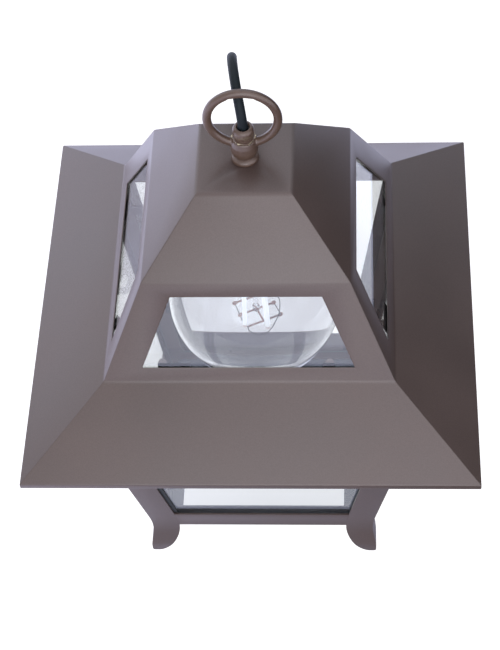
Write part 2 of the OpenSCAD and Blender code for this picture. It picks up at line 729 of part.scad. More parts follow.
// Cord grip nut: thin hexagon with a turned cap on it and a threaded spigot below
module cord_grip_nut() {
    spigot_z = nipple_z1 + 0.8;
    rim_r = nipple_bore + 0.7;
    cap = concat([[6.2, hex_top - 0.5], [6.2, hex_top + 1.2], [6.8, hex_top + 1.7]],
        curve([7.1, hex_top + 2.3], [7.3, hex_top + 4], [7.3, hex_top + 5],
              [7.15, hex_top + 6.2], 6),
        curve([7.15, hex_top + 6.2], [7, hex_top + 7.8], [6.2, hex_top + 8.6],
              [rim_r, dome_top], 8));
    color(finish_color) difference() {
        union() {
            translate([0, 0, loop_seat_z])
                cylinder(h = hex_top - loop_seat_z, d = hex_flats / cos(30), $fn = 6);
            rotate_extrude() polygon(concat([[0, hex_top - 0.5]], cap, [[0, dome_top]]));
            translate([0, 0, spigot_z])
                cylinder(h = loop_seat_z - spigot_z + 0.5, r = nipple_r - 0.05);
        }
        translate([0, 0, spigot_z - 1]) cylinder(h = dome_top - spigot_z + 2, r = nipple_bore);
        rotate_extrude() polygon([[0, dome_top - 0.9], [nipple_bore, dome_top - 0.9],
            [nipple_bore + 0.2, dome_top - 0.4], [rim_r, dome_top + 0.1], [0, dome_top + 0.1]]);
    }
}
module grip_sleeve() {
    z0 = nipple_z1 + 1;
    color(rubber_color) difference() {
        translate([0, 0, z0]) cylinder(h = dome_top - 1.5 - z0, r = nipple_bore - 0.05);
        translate([0, 0, z0 - 1]) cylinder(h = dome_top - z0, r = cord_r + 0.15);
    }
}

// Threaded nipple, washer and nuts that clamp the roof's flat top
module threaded_nipple() {
    color(steel_color) translate([0, 0, nipple_z0]) difference() {
        cylinder(h = nipple_z1 - nipple_z0, r = nipple_r);
        translate([0, 0, -1]) cylinder(h = far, r = nipple_bore);
    }
}
module star_washer() {
    color(steel_color) translate([0, 0, plate_under - washer_t]) difference() {
        union() {
            cylinder(h = washer_t, r = 7.6);
            for (a = [0 : 36 : 324]) rotate([0, 0, a]) translate([7, -1, 0])
                cube([2.2, 2, washer_t]);
        }
        translate([0, 0, -1]) cylinder(h = 3, r = nipple_r + 0.2);
    }
}
module nipple_nuts() {
    color(brass_color)
        for (z = [plate_under - washer_t - nut_h, strap_top - strap_t - nut_h])
            translate([0, 0, z]) difference() {
                cylinder(h = nut_h, d = 14 / cos(30), $fn = 6);
                translate([0, 0, -1]) cylinder(h = nut_h + 2, r = nipple_r + run_gap);
            }
}

// Socket bracket: a strap on the nipple with two legs down to the socket
module socket_bracket() {
    leg_h = strap_top - socket_top;
    color(steel_color) difference() {
        union() {
            translate([-strap_half, -strap_w / 2, strap_top - strap_t])
                cube([2 * strap_half, strap_w, strap_t]);
            for (s = [-1, 1]) {
                translate([s > 0 ? strap_half - strap_t : -strap_half, -strap_w / 2, socket_top])
                    cube([strap_t, strap_w, leg_h]);
                translate([s > 0 ? strap_half - strap_foot : -strap_half, -strap_w / 2,
                    socket_top]) cube([strap_foot, strap_w, strap_t]);
            }
        }
        translate([0, 0, strap_top - strap_t - 1])
            cylinder(h = strap_t + 2, r = nipple_r + 0.2);
        for (s = [-1, 1]) translate([s * bracket_screw_x, 0, socket_top - 1])
            cylinder(h = strap_t + 2, r = 1.8);
        translate([earth_x, 0, strap_top - strap_t - 1]) cylinder(h = strap_t + 2, r = 1.6);
    }
}
module pan_screw(r, head_r, head_h, length) {
    difference() {
        intersection() {
            cylinder(h = head_h, r = head_r);
            translate([0, 0, head_h - 1.6 * head_r]) sphere(r = 1.6 * head_r);
        }
        translate([-head_r, -0.4, head_h * 0.5]) cube([2 * head_r, 0.8, head_h]);
    }
    translate([0, 0, -length]) cylinder(h = length + 0.2, r = r);
}
module bracket_screws() {
    color(steel_color) for (s = [-1, 1])
        translate([s * bracket_screw_x, 0, socket_top + strap_t]) pan_screw(1.5, 2.8, 1.8, 7);
}
earth_x = 13;
module earth_screw() {
    color([0.25, 0.5, 0.3]) translate([earth_x, 0, strap_top]) pan_screw(1.5, 2.9, 2, 5);
}

// Porcelain socket, its brass shell, centre contact and terminal screws
module socket_body() {
    r = socket_d / 2;
    z0 = socket_top - socket_h;
    color(porcelain_color) difference() {
        rotate_extrude() polygon(concat(
            [[0, z0], [r - 1, z0], [r, z0 + 1], [r, z0 + socket_rim]],
            curve([r, z0 + socket_rim], [r, z0 + socket_rim + 4],
                  [r - 2.5, z0 + socket_rim + 3], [r - 2.5, z0 + socket_rim + 7], 6),
            [[r - 2.5, socket_top - 1], [r - 3.5, socket_top], [0, socket_top]]));
        translate([0, 0, z0 - 1]) cylinder(h = socket_h - 7, r = socket_cavity_r);
        for (s = [-1, 1]) {
            translate([s * bracket_screw_x, 0, socket_top - 9]) cylinder(h = 10, r = 1.6);
            translate([-4, s > 0 ? r - 5 : -r - 1, socket_top - 13]) cube([8, 6, 14]);
            translate([0, s * (r - 5), socket_top - 6]) rotate([90, 0, 0])
                cylinder(h = 7, r = 1.6, center = true);
        }
    }
}
module socket_shell() {
    r = socket_cavity_r - 0.1;
    z0 = socket_top - socket_h + 3;
    color(brass_color) translate([0, 0, z0]) difference() {
        cylinder(h = shell_len, r = r);
        translate([0, 0, -1]) cylinder(h = shell_len + 2, r = r - 0.5);
    }
}
module socket_contact() {
    top = socket_top - 8;
    color(brass_color) {
        translate([-6, -2.5, top - contact_t]) cube([12, 5, contact_t]);
        translate([-6, -2.5, tip_z + 0.1]) cube([contact_t, 5, top - tip_z - 0.1]);
        translate([-6, -2.5, tip_z + 0.1]) cube([9, 5, contact_t]);
    }
}
module terminal_screws() {
    r = socket_d / 2;
    color(brass_color) for (s = [-1, 1])
        translate([0, s * (r - 5), socket_top - 6]) rotate([-90 * s, 0, 0])
            pan_screw(1.5, 2.6, 1.8, 3);
}

// Cores of the supply cord from the nipple to the terminals and the earth screw
lead_r = 1;
module socket_leads() {
    r = socket_d / 2;
    z0 = nipple_z0 - 0.8;
    color([0.35, 0.22, 0.15]) for (s = [-1, 1])
        wire([[0, s * 1.3, z0], [0, s * 3, z0 - 2], [0, s * (r + 1.5), z0 - 3],
              [0, s * (r + 1.5), socket_top - 6], [0, s * (r - 3.1), socket_top - 6]], lead_r);
}

// Lamp: clear globe hanging base up
neck_z = shell_top - shell_len + 9;
join_a = 35;
function glass_line(t) = concat(
    [[neck_r - t, neck_z]],
    curve([neck_r - t, neck_z - 9], [neck_r - t, neck_z - 24],
          [(globe_r - t) * sin(join_a) - 15, globe_z + (globe_r - t) * cos(join_a) + 10.3],
          [(globe_r - t) * sin(join_a), globe_z + (globe_r - t) * cos(join_a)], 10),
    [for (a = [join_a + 5 : 5 : 179]) [(globe_r - t) * sin(a), globe_z + (globe_r - t) * cos(a)]]);
module lamp_globe() {
    color(glass_color) rotate_extrude($fn = 96) difference() {
        polygon(concat([[0, neck_z]], glass_line(0), [[0, globe_z - globe_r]]));
        polygon(concat([[0, neck_z - glass_t]],
            [for (q = glass_line(glass_t)) [q[0], min(q[1], neck_z - glass_t)]],
            [[0, globe_z - globe_r + glass_t]]));
    }
}
module lamp_shell() {
    color(brass_color) rotate_extrude() difference() {
        polygon([[0, shell_top - shell_len], [shell_d / 2 - 0.1, shell_top - shell_len],
                 [shell_d / 2, shell_top - shell_len + 1], [shell_d / 2, shell_top - 2],
                 [shell_d / 2 - 3, shell_top], [0, shell_top]]);
        polygon([[0, shell_top - shell_len - 1], [shell_d / 2 - shell_t, shell_top - shell_len - 1],
                 [shell_d / 2 - shell_t, shell_top - 2 - shell_t],
                 [shell_d / 2 - 3 - shell_t, shell_top - shell_t], [0, shell_top - shell_t]]);
        square([insulator_r, 2 * far]);
    }
}
insulator_r = 8;
module lamp_insulator() {
    color([0.05, 0.05, 0.06]) rotate_extrude() difference() {
        polygon([[0, shell_top - 2], [insulator_r - 0.1, shell_top - 2],
                 [insulator_r - 0.1, shell_top], [5.6, tip_z - 0.9], [0, tip_z - 0.9]]);
        square([contact_r + 0.05, 2 * far]);
    }
}
contact_r = 4.6;
module lamp_contact() {
    color(steel_color) rotate_extrude()
        polygon([[0, shell_top - 1.5], [contact_r, shell_top - 1.5], [contact_r, tip_z - 1],
                 [contact_r - 1.4, tip_z - 0.2], [0, tip_z]]);
}

// Glass stem with its button, copper supports and the filament strung on them
stem_z1 = neck_z - glass_t;
button_z = globe_z - 16;
stem_r = 4.5;
module lamp_stem() {
    color(glass_color) rotate_extrude() polygon(concat(
        [[0, stem_z1], [neck_r - glass_t - 0.6, stem_z1], [neck_r - glass_t - 0.6, stem_z1 - 2]],
        curve([neck_r - glass_t - 3, stem_z1 - 6], [stem_r + 1, stem_z1 - 12],
              [stem_r, stem_z1 - 18], [stem_r, stem_z1 - 28], 6),
        [[2.2, stem_z1 - 31], [1.5, stem_z1 - 34], [1.5, button_z + 3], [2.6, button_z + 2],
         [2.6, button_z - 2], [1.6, button_z - 3.4], [0, button_z - 3.4]]));
}
support_r = 0.45;
upper_ring = 14.5;
lower_ring = 18;
upper_z = 5;
lower_z = -0.5;
support_count = 4;
upper_turn = [0, 100, 180, 235];
lower_turn = [-22, 68, 158, 248];
function hook(a, ring, dz) = [ring * cos(a), ring * sin(a), button_z + dz];
upper_hooks = [for (a = upper_turn) hook(a, upper_ring, upper_z)];
lower_hooks = [for (a = lower_turn) hook(a, lower_ring, lower_z)];
module eye(c, a) {
    translate(c) rotate([0, 0, a]) rotate([90, 0, 0]) rotate_extrude($fn = 20)
        translate([1.3, 0]) circle(r = support_r, $fn = 10);
}
module lamp_supports() {
    color(copper_color) for (k = [0 : support_count - 1]) {
        for (h = [upper_hooks[k], lower_hooks[k]]) {
            a = atan2(h[1], h[0]);
            rod([1.6 * cos(a), 1.6 * sin(a), button_z + (h[2] > button_z ? 1 : -1)],
                h - 1.2 * [cos(a), sin(a), 0], support_r);
            eye(h, a);
        }
    }
}
filament_r = 0.25;
module lamp_filament() {
    loops = [for (k = [0 : support_count - 1]) each
        [upper_hooks[k] + [0, 0, 1.9], lower_hooks[k] - [0, 0, 1.9]]];
    color([0.15, 0.13, 0.12]) wire(loops, filament_r);
}

// Supply cord
module cord_in_hub() {
    color(rubber_color) translate([0, 0, nipple_z0]) cylinder(h = cord_start_z - nipple_z0, r = cord_r);
}
module supply_cord() {
    color(rubber_color) swept_tube(cord_route, cord_r, cord_sides, [0, 0, 1], [0, 1, 0]);
}
module cord_coil() {
    color(rubber_color) swept_tube(coil_path, cord_r, coil_sides, [0, 1, 0], [0, 1, 0]);
}
module cord_tail() {
    color(rubber_color) swept_tube(cord_tail_route, cord_r, cord_sides, [0, 1, 0], [-1, 0, 0]);
}
core_r = 1.1;
core_places = [[-1.25, -0.75], [1.25, -0.75], [0, 1.3]];
core_l = [30, 34, 26];
bare_l = 9;
module cord_cores() {
    color([0.3, 0.35, 0.5]) for (k = [0 : 2])
        translate(tail_end + [0, core_places[k][0], core_places[k][1]]) rotate([0, -90, 0])
            cylinder(h = core_l[k], r = core_r, $fn = 16);
}
module core_tips() {
    color(copper_color) for (k = [0 : 2])
        translate(tail_end + [-core_l[k], core_places[k][0], core_places[k][1]])
            rotate([0, -90, 0]) cylinder(h = bare_l, r = 0.7, $fn = 16);
}

roof_shell();
roof_brackets();
roof_thumbscrews();
roof_pane_front();
roof_pane_right();
roof_pane_back();
roof_pane_left();
roof_pane_clips();
roof_pane_pads();
leg_front_left();
leg_front_right();
leg_back_right();
leg_back_left();
rail_front();
rail_right();
rail_back();
rail_left();
top_frame();
side_pane_front();
side_pane_right();
side_pane_back();
side_pane_left();
side_pane_clips();
glazing_tape();
bottom_tray();
tray_screws();
loop_collar();
hanging_loop();
cord_grip_nut();
grip_sleeve();
threaded_nipple();
star_washer();
nipple_nuts();
socket_bracket();
bracket_screws();
earth_screw();
socket_body();
socket_shell();
socket_contact();
terminal_screws();
socket_leads();
lamp_globe();
lamp_shell();
lamp_insulator();
lamp_contact();
lamp_stem();
lamp_supports();
lamp_filament();
cord_in_hub();
supply_cord();
cord_coil();
cord_tail();
cord_cores();
core_tips();
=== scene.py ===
"""Outdoor hanging lantern: finishes, dressed pieces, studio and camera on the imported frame."""

import math

import bpy
import bmesh
from mathutils import Matrix, Vector


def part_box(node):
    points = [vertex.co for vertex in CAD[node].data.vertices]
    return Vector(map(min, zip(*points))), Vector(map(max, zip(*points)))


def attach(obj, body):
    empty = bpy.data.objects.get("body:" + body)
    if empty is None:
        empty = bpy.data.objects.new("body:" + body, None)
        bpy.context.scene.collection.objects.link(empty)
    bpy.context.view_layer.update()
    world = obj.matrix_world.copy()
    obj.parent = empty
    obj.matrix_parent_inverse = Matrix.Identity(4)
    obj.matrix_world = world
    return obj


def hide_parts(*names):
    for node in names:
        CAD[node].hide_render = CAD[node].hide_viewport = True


bl_info = {
    "name": "Outdoor Hanging Lantern",
    "version": (1, 0, 0),
    "blender": (4, 5, 0),
    "location": "View3D > Sidebar > Lantern",
    "description": "Dresses the packed hanging lantern with its finishes and sets up its studio",
    "category": "Object",
}

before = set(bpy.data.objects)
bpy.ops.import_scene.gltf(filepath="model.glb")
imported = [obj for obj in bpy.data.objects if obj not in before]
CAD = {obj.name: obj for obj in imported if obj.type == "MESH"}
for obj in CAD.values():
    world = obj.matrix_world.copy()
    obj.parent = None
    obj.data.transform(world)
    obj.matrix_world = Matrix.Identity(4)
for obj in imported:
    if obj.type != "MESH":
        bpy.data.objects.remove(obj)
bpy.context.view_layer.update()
MM = 0.001

# The lamp's places, in metres: its neck's top, its cap, and its globe's radius and middle
NECK_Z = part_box("lamp_globe")[1].z
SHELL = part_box("lamp_shell")
GLOBE_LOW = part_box("lamp_globe")[0].z
GLOBE_R = (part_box("lamp_globe")[1].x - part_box("lamp_globe")[0].x) / 2
GLOBE_Z = GLOBE_LOW + GLOBE_R

# The supply cord's centreline in millimetres: the free run, then the coil's rule, then the tail
CORD_RUN = [
    (0, 0, 380), (0, 0, 389), (-0.8, 1.8, 398.2), (-2.2, 6.6, 406.3),
    (-3.9, 13.8, 412.2), (-5.4, 22.6, 415.3), (-6.7, 32, 415.1), (-7.6, 40.8, 411.6),
    (-8.2, 48.2, 405.4), (-8.6, 53.6, 397), (-8.8, 57.4, 387), (-8.8, 60.8, 375.5),
    (-8.6, 64, 363), (-8.3, 67.5, 350), (-7.8, 71, 337), (-7.5, 75, 322),
    (-7.5, 80, 306), (-8.3, 86.5, 290), (-9.7, 93, 275), (-11.2, 98.5, 261.5),
    (-12.6, 105.5, 250), (-13.5, 116, 240.5), (-14.5, 130, 231.5), (-15, 143.5, 223),
    (-15.5, 153, 216), (-16.5, 160, 207.5), (-16.5, 164, 195), (-17.5, 165.5, 178),
    (-17.5, 166, 160), (-18, 166, 142), (-19, 165.5, 124), (-19, 165, 106),
    (-19.5, 164.5, 88), (-19.5, 164.5, 70), (-20, 165, 52), (-20, 166.5, 36),
    (-20, 172, 20.5), (-20, 182, 9), (-20, 196, 4), (-20, 209, 3.3), (-20, 217, 3.3),
]
CORD_TAIL = [
    (-20.5, 240, 9.8), (-23.5, 250, 8), (-30, 259, 5.5),
    (-40, 265, 3.8), (-52, 267, 3.3), (-62, 267, 3.3),
]
# Lamp, in millimetres: cross wires (two ends, and whether each is hooked), filament and stem tubes
SUPPORT_WIRES = [
    ((-14.8, -6.8, 214), (14.8, 6.8, 214), True, True),
    ((-11.6, -5.2, 198), (12.6, 6.0, 198), True, True),
    ((-1.7, 5.0, 198), (5.5, -10.5, 198), False, False),
    ((-6.4, -2.9, 181), (17.2, 8.1, 181), False, True),
]
FILAMENT_RUNS = [
    [(-14.4, -6.5, 212.6), (-13.2, -6.2, 206), (-12, -5.7, 199.4)],
    [(-11.6, -5.4, 196.6), (-9, -4.6, 186), (-6.7, -3.8, 181), (-6.2, -3, 176),
     (-1.6, -1, 169.2), (4.8, 0, 167.3), (10, 2, 171.8), (13.4, 4, 178.1), (16, 6.6, 184),
     (17, 8, 196), (15.5, 7.4, 205), (14.4, 6.7, 212.8)],
    [(13, 6.3, 196.7), (15.2, 7, 189), (17, 7.4, 182.3)],
]
STEM_TUBES = [
    ((-6.6, -3, 266), (-8.3, -8, 191.5), 1.75),
    ((5.0, 0, 262), (7.6, 0, 179), 2.2),
]
# The ball of the casting, in millimetres: its radius and its middle's height
BALL_R = 9.35
BALL_Z = 371.2
# Radii of the lamp's wires and of the bend of their hooks, in millimetres
HOOK_BEND = 1.35
HOOK_WIRE = 0.7
CROSS_WIRE = 0.72
FILAMENT_WIRE = 0.34
# In millimetres the cord's coil, and its axis's height where it lies
COIL_IN = 30.0
COIL_PITCH = 7.1
COIL_TURNS = 4
COIL_POINTS = 24
CORD_LIES = 3.3
# In metres, the spacing of the cord's rings and the length that its drawing lines repeat over
CORD_STEP = 0.0035
CORD_GRAIN = 0.02
# Thread of the lamp's cap, in millimetres
CAP_PITCH = 3.629
CAP_DEPTH = 0.75
# The camera at the photograph's viewing angle: place, line of sight, roll in degrees and lens
CAMERA_AT = (0.07233, -0.80809, 1.24727)
CAMERA_AHEAD = (-0.05805471, 0.60179662, -0.79653655)
CAMERA_ROLL = -4.55
CAMERA_LENS = 100.56
# Refractive indices chosen for this stage, and the depth of the coat's orange peel in metres
PANE_IOR = 1.62
GLOBE_IOR = 1.38
STEM_IOR = 1.1
COAT_PEEL = 0.00004
# What every colour that a user may change has in common
COLOUR = {"subtype": "COLOR", "size": 3, "min": 0, "max": 1}


class LanternFinish(bpy.types.PropertyGroup):
    coat: bpy.props.FloatVectorProperty(
        name="Powder coat", description="Colour of the bronze powder coat",
        default=(0.129, 0.086, 0.074), **COLOUR)
    cast_coat: bpy.props.FloatVectorProperty(
        name="Coat on castings", description="Colour of the browner coat on ring, collar and nut",
        default=(0.137, 0.080, 0.057), **COLOUR)
    coat_roughness: bpy.props.FloatProperty(
        name="Coat roughness", description="Roughness of the powder coat",
        default=0.37, min=0.05, max=1, subtype="FACTOR")
    coat_edge: bpy.props.FloatProperty(
        name="Coated edge", description="Radius that the coat leaves on a sheet's edge",
        default=0.0004, min=0.0001, max=0.001, unit="LENGTH")
    rubber: bpy.props.FloatVectorProperty(
        name="Rubber", description="Colour of the tape and pads",
        default=(0.006, 0.007, 0.007), **COLOUR)
    glass: bpy.props.FloatVectorProperty(
        name="Pane glass", description="Tint of the panes",
        default=(0.94, 0.958, 0.96), **COLOUR)
    lamp_glass: bpy.props.FloatVectorProperty(
        name="Lamp glass", description="Tint of the lamp's clear glass",
        default=(0.80, 0.80, 0.82), **COLOUR)
    brass: bpy.props.FloatVectorProperty(
        name="Brass", description="Colour of the brass pieces",
        default=(0.52, 0.35, 0.13), **COLOUR)
    copper: bpy.props.FloatVectorProperty(
        name="Copper", description="Colour of the lamp's support wires",
        default=(0.40, 0.15, 0.09), **COLOUR)


class LanternCord(bpy.types.PropertyGroup):
    diameter: bpy.props.FloatProperty(
        name="Cord diameter", description="Outside diameter of the round supply cord",
        default=0.0066, min=0.005, max=0.009, unit="LENGTH")
    colour: bpy.props.FloatVectorProperty(
        name="Cord sheath", description="Colour of the cord's rubber sheath",
        default=(0.004, 0.007, 0.009), **COLOUR)
    sides: bpy.props.IntProperty(
        name="Cord sides", description="Faces round the cord", default=20, min=8, max=48)


class LanternStage(bpy.types.PropertyGroup):
    floor: bpy.props.FloatVectorProperty(
        name="Floor", description="Colour of the floor",
        default=(0.80, 0.80, 0.81), **COLOUR)
    side_power: bpy.props.FloatProperty(
        name="Side lamp", description="Power of the cool lamp at the left behind",
        default=3.2, min=0, max=200, unit="POWER")
    front_power: bpy.props.FloatProperty(
        name="Front lamp", description="Power of the lamp in front",
        default=13.4, min=0, max=200, unit="POWER")
    under_glow: bpy.props.FloatProperty(
        name="Light from below", description="Light that the white floor sends up into the body",
        default=1.5, min=0, max=4)
    sky: bpy.props.FloatProperty(
        name="Room light", description="Strength of the light from all round",
        default=0.42, min=0, max=2)


# Materials

def material(name):
    """A new node material, with its tree and its Principled shader."""
    made = bpy.data.materials.new(name)
    made.use_nodes = True
    return made, made.node_tree, made.node_tree.nodes["Principled BSDF"]


def fed(tree, made, sockets):
    """Links a node's sockets to other nodes' outputs, or sets them to plain values."""
    for name, value in sockets.items():
        if isinstance(value, bpy.types.NodeSocket):
            tree.links.new(value, made.inputs[name])
        else:
            made.inputs[name].default_value = value
    return made


def new_node(tree, kind, sockets=None, **settings):
    """A new node with its settings made and its sockets fed."""
    made = tree.nodes.new(kind)
    for name, value in settings.items():
        setattr(made, name, value)
    return fed(tree, made, sockets or {})


def noise(tree, scale, detail=3.0, stretch=(1, 1, 1)):
    """Noise on the object's own coordinates."""
    place = new_node(tree, "ShaderNodeTexCoord").outputs["Object"]
    turn = new_node(tree, "ShaderNodeMapping", {"Vector": place, "Scale": stretch})
    return new_node(tree, "ShaderNodeTexNoise", {
        "Vector": turn.outputs["Vector"], "Scale": scale, "Detail": detail}).outputs["Fac"]


def ramp(tree, source, stops):
    """The source as a colour that runs between stops of (position, colour)."""
    made = new_node(tree, "ShaderNodeValToRGB", {"Fac": source})
    marks = made.color_ramp.elements
    for i, (at, colour) in enumerate(stops):
        mark = marks[i] if i < 2 else marks.new(at)
        mark.position = at
        mark.color = (*colour, 1)
    return made.outputs["Color"]


def mapped(tree, source, a, b, low, high):
    """The source's range a..b mapped to low..high and held there."""
    return new_node(tree, "ShaderNodeMapRange", {
        "Value": source, "From Min": a, "From Max": b, "To Min": low, "To Max": high,
    }).outputs["Result"]


def spread(tree, source, low, high):
    """The source's middle range mapped to low..high."""
    return mapped(tree, source, 0.3, 0.7, low, high)


def combined(tree, operation, a, b, clamped=False):
    """Two values added, multiplied or otherwise taken together."""
    return new_node(tree, "ShaderNodeMath", {0: a, 1: b}, operation=operation,
                    use_clamp=clamped).outputs[0]


def mixed(tree, share, a, b, kind="RGBA", blend="MIX"):
    """The first colour or value, passing to the second as the share rises to one."""
    return new_node(tree, "ShaderNodeMix", {"Factor": share, "A": a, "B": b},
                    data_type=kind, blend_type=blend).outputs["Result"]


def placed(tree, kind="Object"):
    """A point's place, and the outputs for its X, Y and Z."""
    place = new_node(tree, "ShaderNodeTexCoord").outputs[kind]
    return place, new_node(tree, "ShaderNodeSeparateXYZ", {"Vector": place}).outputs


def distance(tree, vector):
    return new_node(tree, "ShaderNodeVectorMath", {0: vector}, operation="LENGTH").outputs["Value"]


def slanted(tree, parts):
    """X less 0.6 of Y, which falls towards the left and the back."""
    return combined(tree, "ADD", parts["X"], combined(tree, "MULTIPLY", parts["Y"], -0.6))


def surfaced(tree, share, first, second):
    """The material's surface: the first shader, or the second where the share is one."""
    mix = new_node(tree, "ShaderNodeMixShader", {0: share, 1: first, 2: second})
    fed(tree, tree.nodes["Material Output"], {"Surface": mix.outputs["Shader"]})


def bumped(tree, shader, source, depth, strength):
    """Raises the shader's surface by the source, up to a depth in metres."""
    bump = new_node(tree, "ShaderNodeBump", {
        "Height": source, "Distance": depth, "Strength": strength})
    fed(tree, shader, {"Normal": bump.outputs["Normal"]})


def toned(colour, share):
    return tuple(min(1, c * share) for c in colour)


def coat_finish(name, colour, roughness):
    """Bronze powder coat: fine orange peel, a fine fleck and slow patches of tone."""
    made, tree, shader = material(name)
    patches = noise(tree, 14, 2)
    slow = ramp(tree, patches, [(0.32, toned(colour, 0.95)), (0.68, toned(colour, 1.05))])
    fleck = ramp(tree, noise(tree, 1300, 2),
                 [(0.35, (0.90, 0.90, 0.90)), (0.65, (1.06, 1.06, 1.06))])
    fed(tree, shader, {
        "Base Color": mixed(tree, 1.0, slow, fleck, blend="MULTIPLY"),
        "Roughness": spread(tree, patches, roughness - 0.03, roughness + 0.04)})
    bumped(tree, shader, noise(tree, 900, 2), COAT_PEEL, 0.6)
    return made


def worn_coat_finish(colour, roughness, brass):
    """The coat on the grip nut, chipped to the brass at the hexagon's corners and edge."""
    made, tree, shader = material("chipped_powder_coat")
    parts = placed(tree)[1]
    flat = new_node(tree, "ShaderNodeCombineXYZ", {"X": parts["X"], "Y": parts["Y"]})
    edge = mapped(tree, distance(tree, flat.outputs["Vector"]), 0.0071, 0.0078, 0.0, 1.0)
    chips = mapped(tree, noise(tree, 520), 0.49, 0.55, 0.0, 1.0)
    bare = combined(tree, "MULTIPLY", edge, chips)
    fed(tree, shader, {
        "Base Color": mixed(tree, bare, (*colour, 1), (*brass, 1)),
        "Metallic": bare,
        "Roughness": roughness})
    bumped(tree, shader, noise(tree, 900, 2), COAT_PEEL, 0.6)
    return made


def metal_finish(name, colour, roughness, grain):
    """Bare metal with a fine tarnish, which the grain stretches."""
    made, tree, shader = material(name)
    tarnish = noise(tree, 220, 3, grain)
    fed(tree, shader, {
        "Base Color": ramp(tree, tarnish, [(0.3, toned(colour, 0.78)), (0.7, toned(colour, 1.08))]),
        "Metallic": 1.0,
        "Roughness": spread(tree, tarnish, roughness - 0.06, roughness + 0.1)})
    bumped(tree, shader, tarnish, 0.00002, 0.5)
    return made


def plain_finish(name, colour, roughness, scale=300, depth=0.00003, coat=0.0, glow=None):
    """A faintly grained surface; a clear coat, or a painted glow of (colour, strength), where
    asked.
    """
    made, tree, shader = material(name)
    grain = noise(tree, scale)
    fed(tree, shader, {
        "Base Color": ramp(tree, grain, [(0.3, toned(colour, 0.88)), (0.7, toned(colour, 1.08))]),
        "Roughness": spread(tree, grain, roughness - 0.05, roughness + 0.06),
        "Coat Weight": coat})
    if glow:
        fed(tree, shader, {"Emission Color": (*glow[0], 1), "Emission Strength": glow[1]})
    bumped(tree, shader, grain, depth, 0.6)
    return made


def glass_finish(name, tint, ior):
    """Clear glass that lets the lamps' light through without a dark shadow."""
    made, tree, shader = material(name)
    fed(tree, shader, {
        "Base Color": (*tint, 1), "Roughness": 0.0, "IOR": ior, "Transmission Weight": 1.0})
    path = new_node(tree, "ShaderNodeLightPath").outputs
    clear = new_node(tree, "ShaderNodeBsdfTransparent", {"Color": (*tint, 1)})
    soft = combined(tree, "MAXIMUM", path["Is Shadow Ray"], path["Is Diffuse Ray"])
    surfaced(tree, soft, shader.outputs["BSDF"], clear.outputs["BSDF"])
    return made


def sheath_finish(colour):
    """Rubber cord sheath: dull, with fine pale flecks and drawing lines along it."""
    made, tree, shader = material("cord_sheath_rubber")
    along = new_node(tree, "ShaderNodeUVMap").outputs["UV"]
    turn = new_node(tree, "ShaderNodeMapping", {"Vector": along, "Scale": (1, 60, 1)})
    lines = new_node(tree, "ShaderNodeTexNoise", {"Vector": turn.outputs["Vector"], "Scale": 12})
    pale_flecks = noise(tree, 1500, 2)
    fed(tree, shader, {
        "Base Color": ramp(tree, pale_flecks, [(0.62, colour), (0.74, toned(colour, 3.4)),
                                         (0.3, toned(colour, 0.85))]),
        "Roughness": spread(tree, pale_flecks, 0.5, 0.68),
        "Specular IOR Level": 0.2})
    bumped(tree, shader, lines.outputs["Fac"], 0.00006, 0.5)
    return made


FINISH = {}


def make_finishes():
    """Every finish of the lantern, made once."""
    if FINISH:
        return FINISH
    look = bpy.context.scene.lantern_finish
    cast = tuple(look.cast_coat)
    even = (1, 1, 1)
    FINISH["coat"] = coat_finish("bronze_powder_coat", tuple(look.coat), look.coat_roughness)
    FINISH["cast_coat"] = coat_finish("antique_coat_on_casting", cast, look.coat_roughness - 0.03)
    FINISH["worn_coat"] = worn_coat_finish(cast, look.coat_roughness, (0.50, 0.42, 0.28))
    FINISH["tray_coat"] = coat_finish("grey_tray_coat", (0.13, 0.145, 0.17), 0.4)
    FINISH["cord_sheath"] = sheath_finish(tuple(bpy.context.scene.lantern_cord.colour))
    for key, name, tint, ior in (
        ("glass", "clear_pane_glass", tuple(look.glass), PANE_IOR),
        ("lamp_glass", "clear_lamp_glass", tuple(look.lamp_glass), GLOBE_IOR),
        ("stem_glass", "clear_stem_glass", (0.93, 0.93, 0.95), STEM_IOR),
    ):
        FINISH[key] = glass_finish(name, tint, ior)
    for key, name, colour, roughness, grain in (
        ("black_steel", "blackened_steel", (0.07, 0.075, 0.08), 0.45, even),
        ("steel", "zinc_plated_steel", (0.55, 0.55, 0.56), 0.34, (1, 1, 6)),
        ("brass", "tarnished_brass", tuple(look.brass), 0.34, even),
        ("copper", "copper_wire", tuple(look.copper), 0.35, even),
        ("filament", "dark_filament", (0.02, 0.018, 0.02), 0.6, even),
    ):
        FINISH[key] = metal_finish(name, colour, roughness, grain)
    for key, name, colour, roughness in (
        ("glass_edge", "ground_glass_edge", (0.10, 0.16, 0.15), 0.4),
        ("rubber", "black_rubber", tuple(look.rubber), 0.6),
        ("core_sleeve", "blue_core_sleeve", (0.03, 0.07, 0.25), 0.4),
        ("core_brown", "brown_core_sleeve", (0.11, 0.045, 0.02), 0.4),
        ("core_green", "green_core_sleeve", (0.08, 0.26, 0.04), 0.4),
        ("insulator", "black_cap_glass", (0.01, 0.01, 0.012), 0.12),
        ("earth_green", "green_enamel", (0.02, 0.13, 0.03), 0.3),
    ):
        FINISH[key] = plain_finish(name, colour, roughness)
    FINISH["porcelain"] = plain_finish(
        "glazed_porcelain", (0.80, 0.78, 0.73), 0.18, scale=60, depth=0.00002, coat=0.6)
    # The pale stem tubes and their ends glow: painted highlight, not lamp light
    FINISH["milk_glass_painted_glow"] = plain_finish(
        "opal_stem_glass_painted_glow", (0.92, 0.95, 0.98), 0.12, depth=0.00001, coat=0.5,
        glow=((0.92, 0.96, 1), 0.85))
    FINISH["ceramic"] = plain_finish(
        "beige_stem_end_painted_glow", (0.62, 0.52, 0.48), 0.4, glow=((1, 0.9, 0.88), 0.5))
    return FINISH


# Mesh making

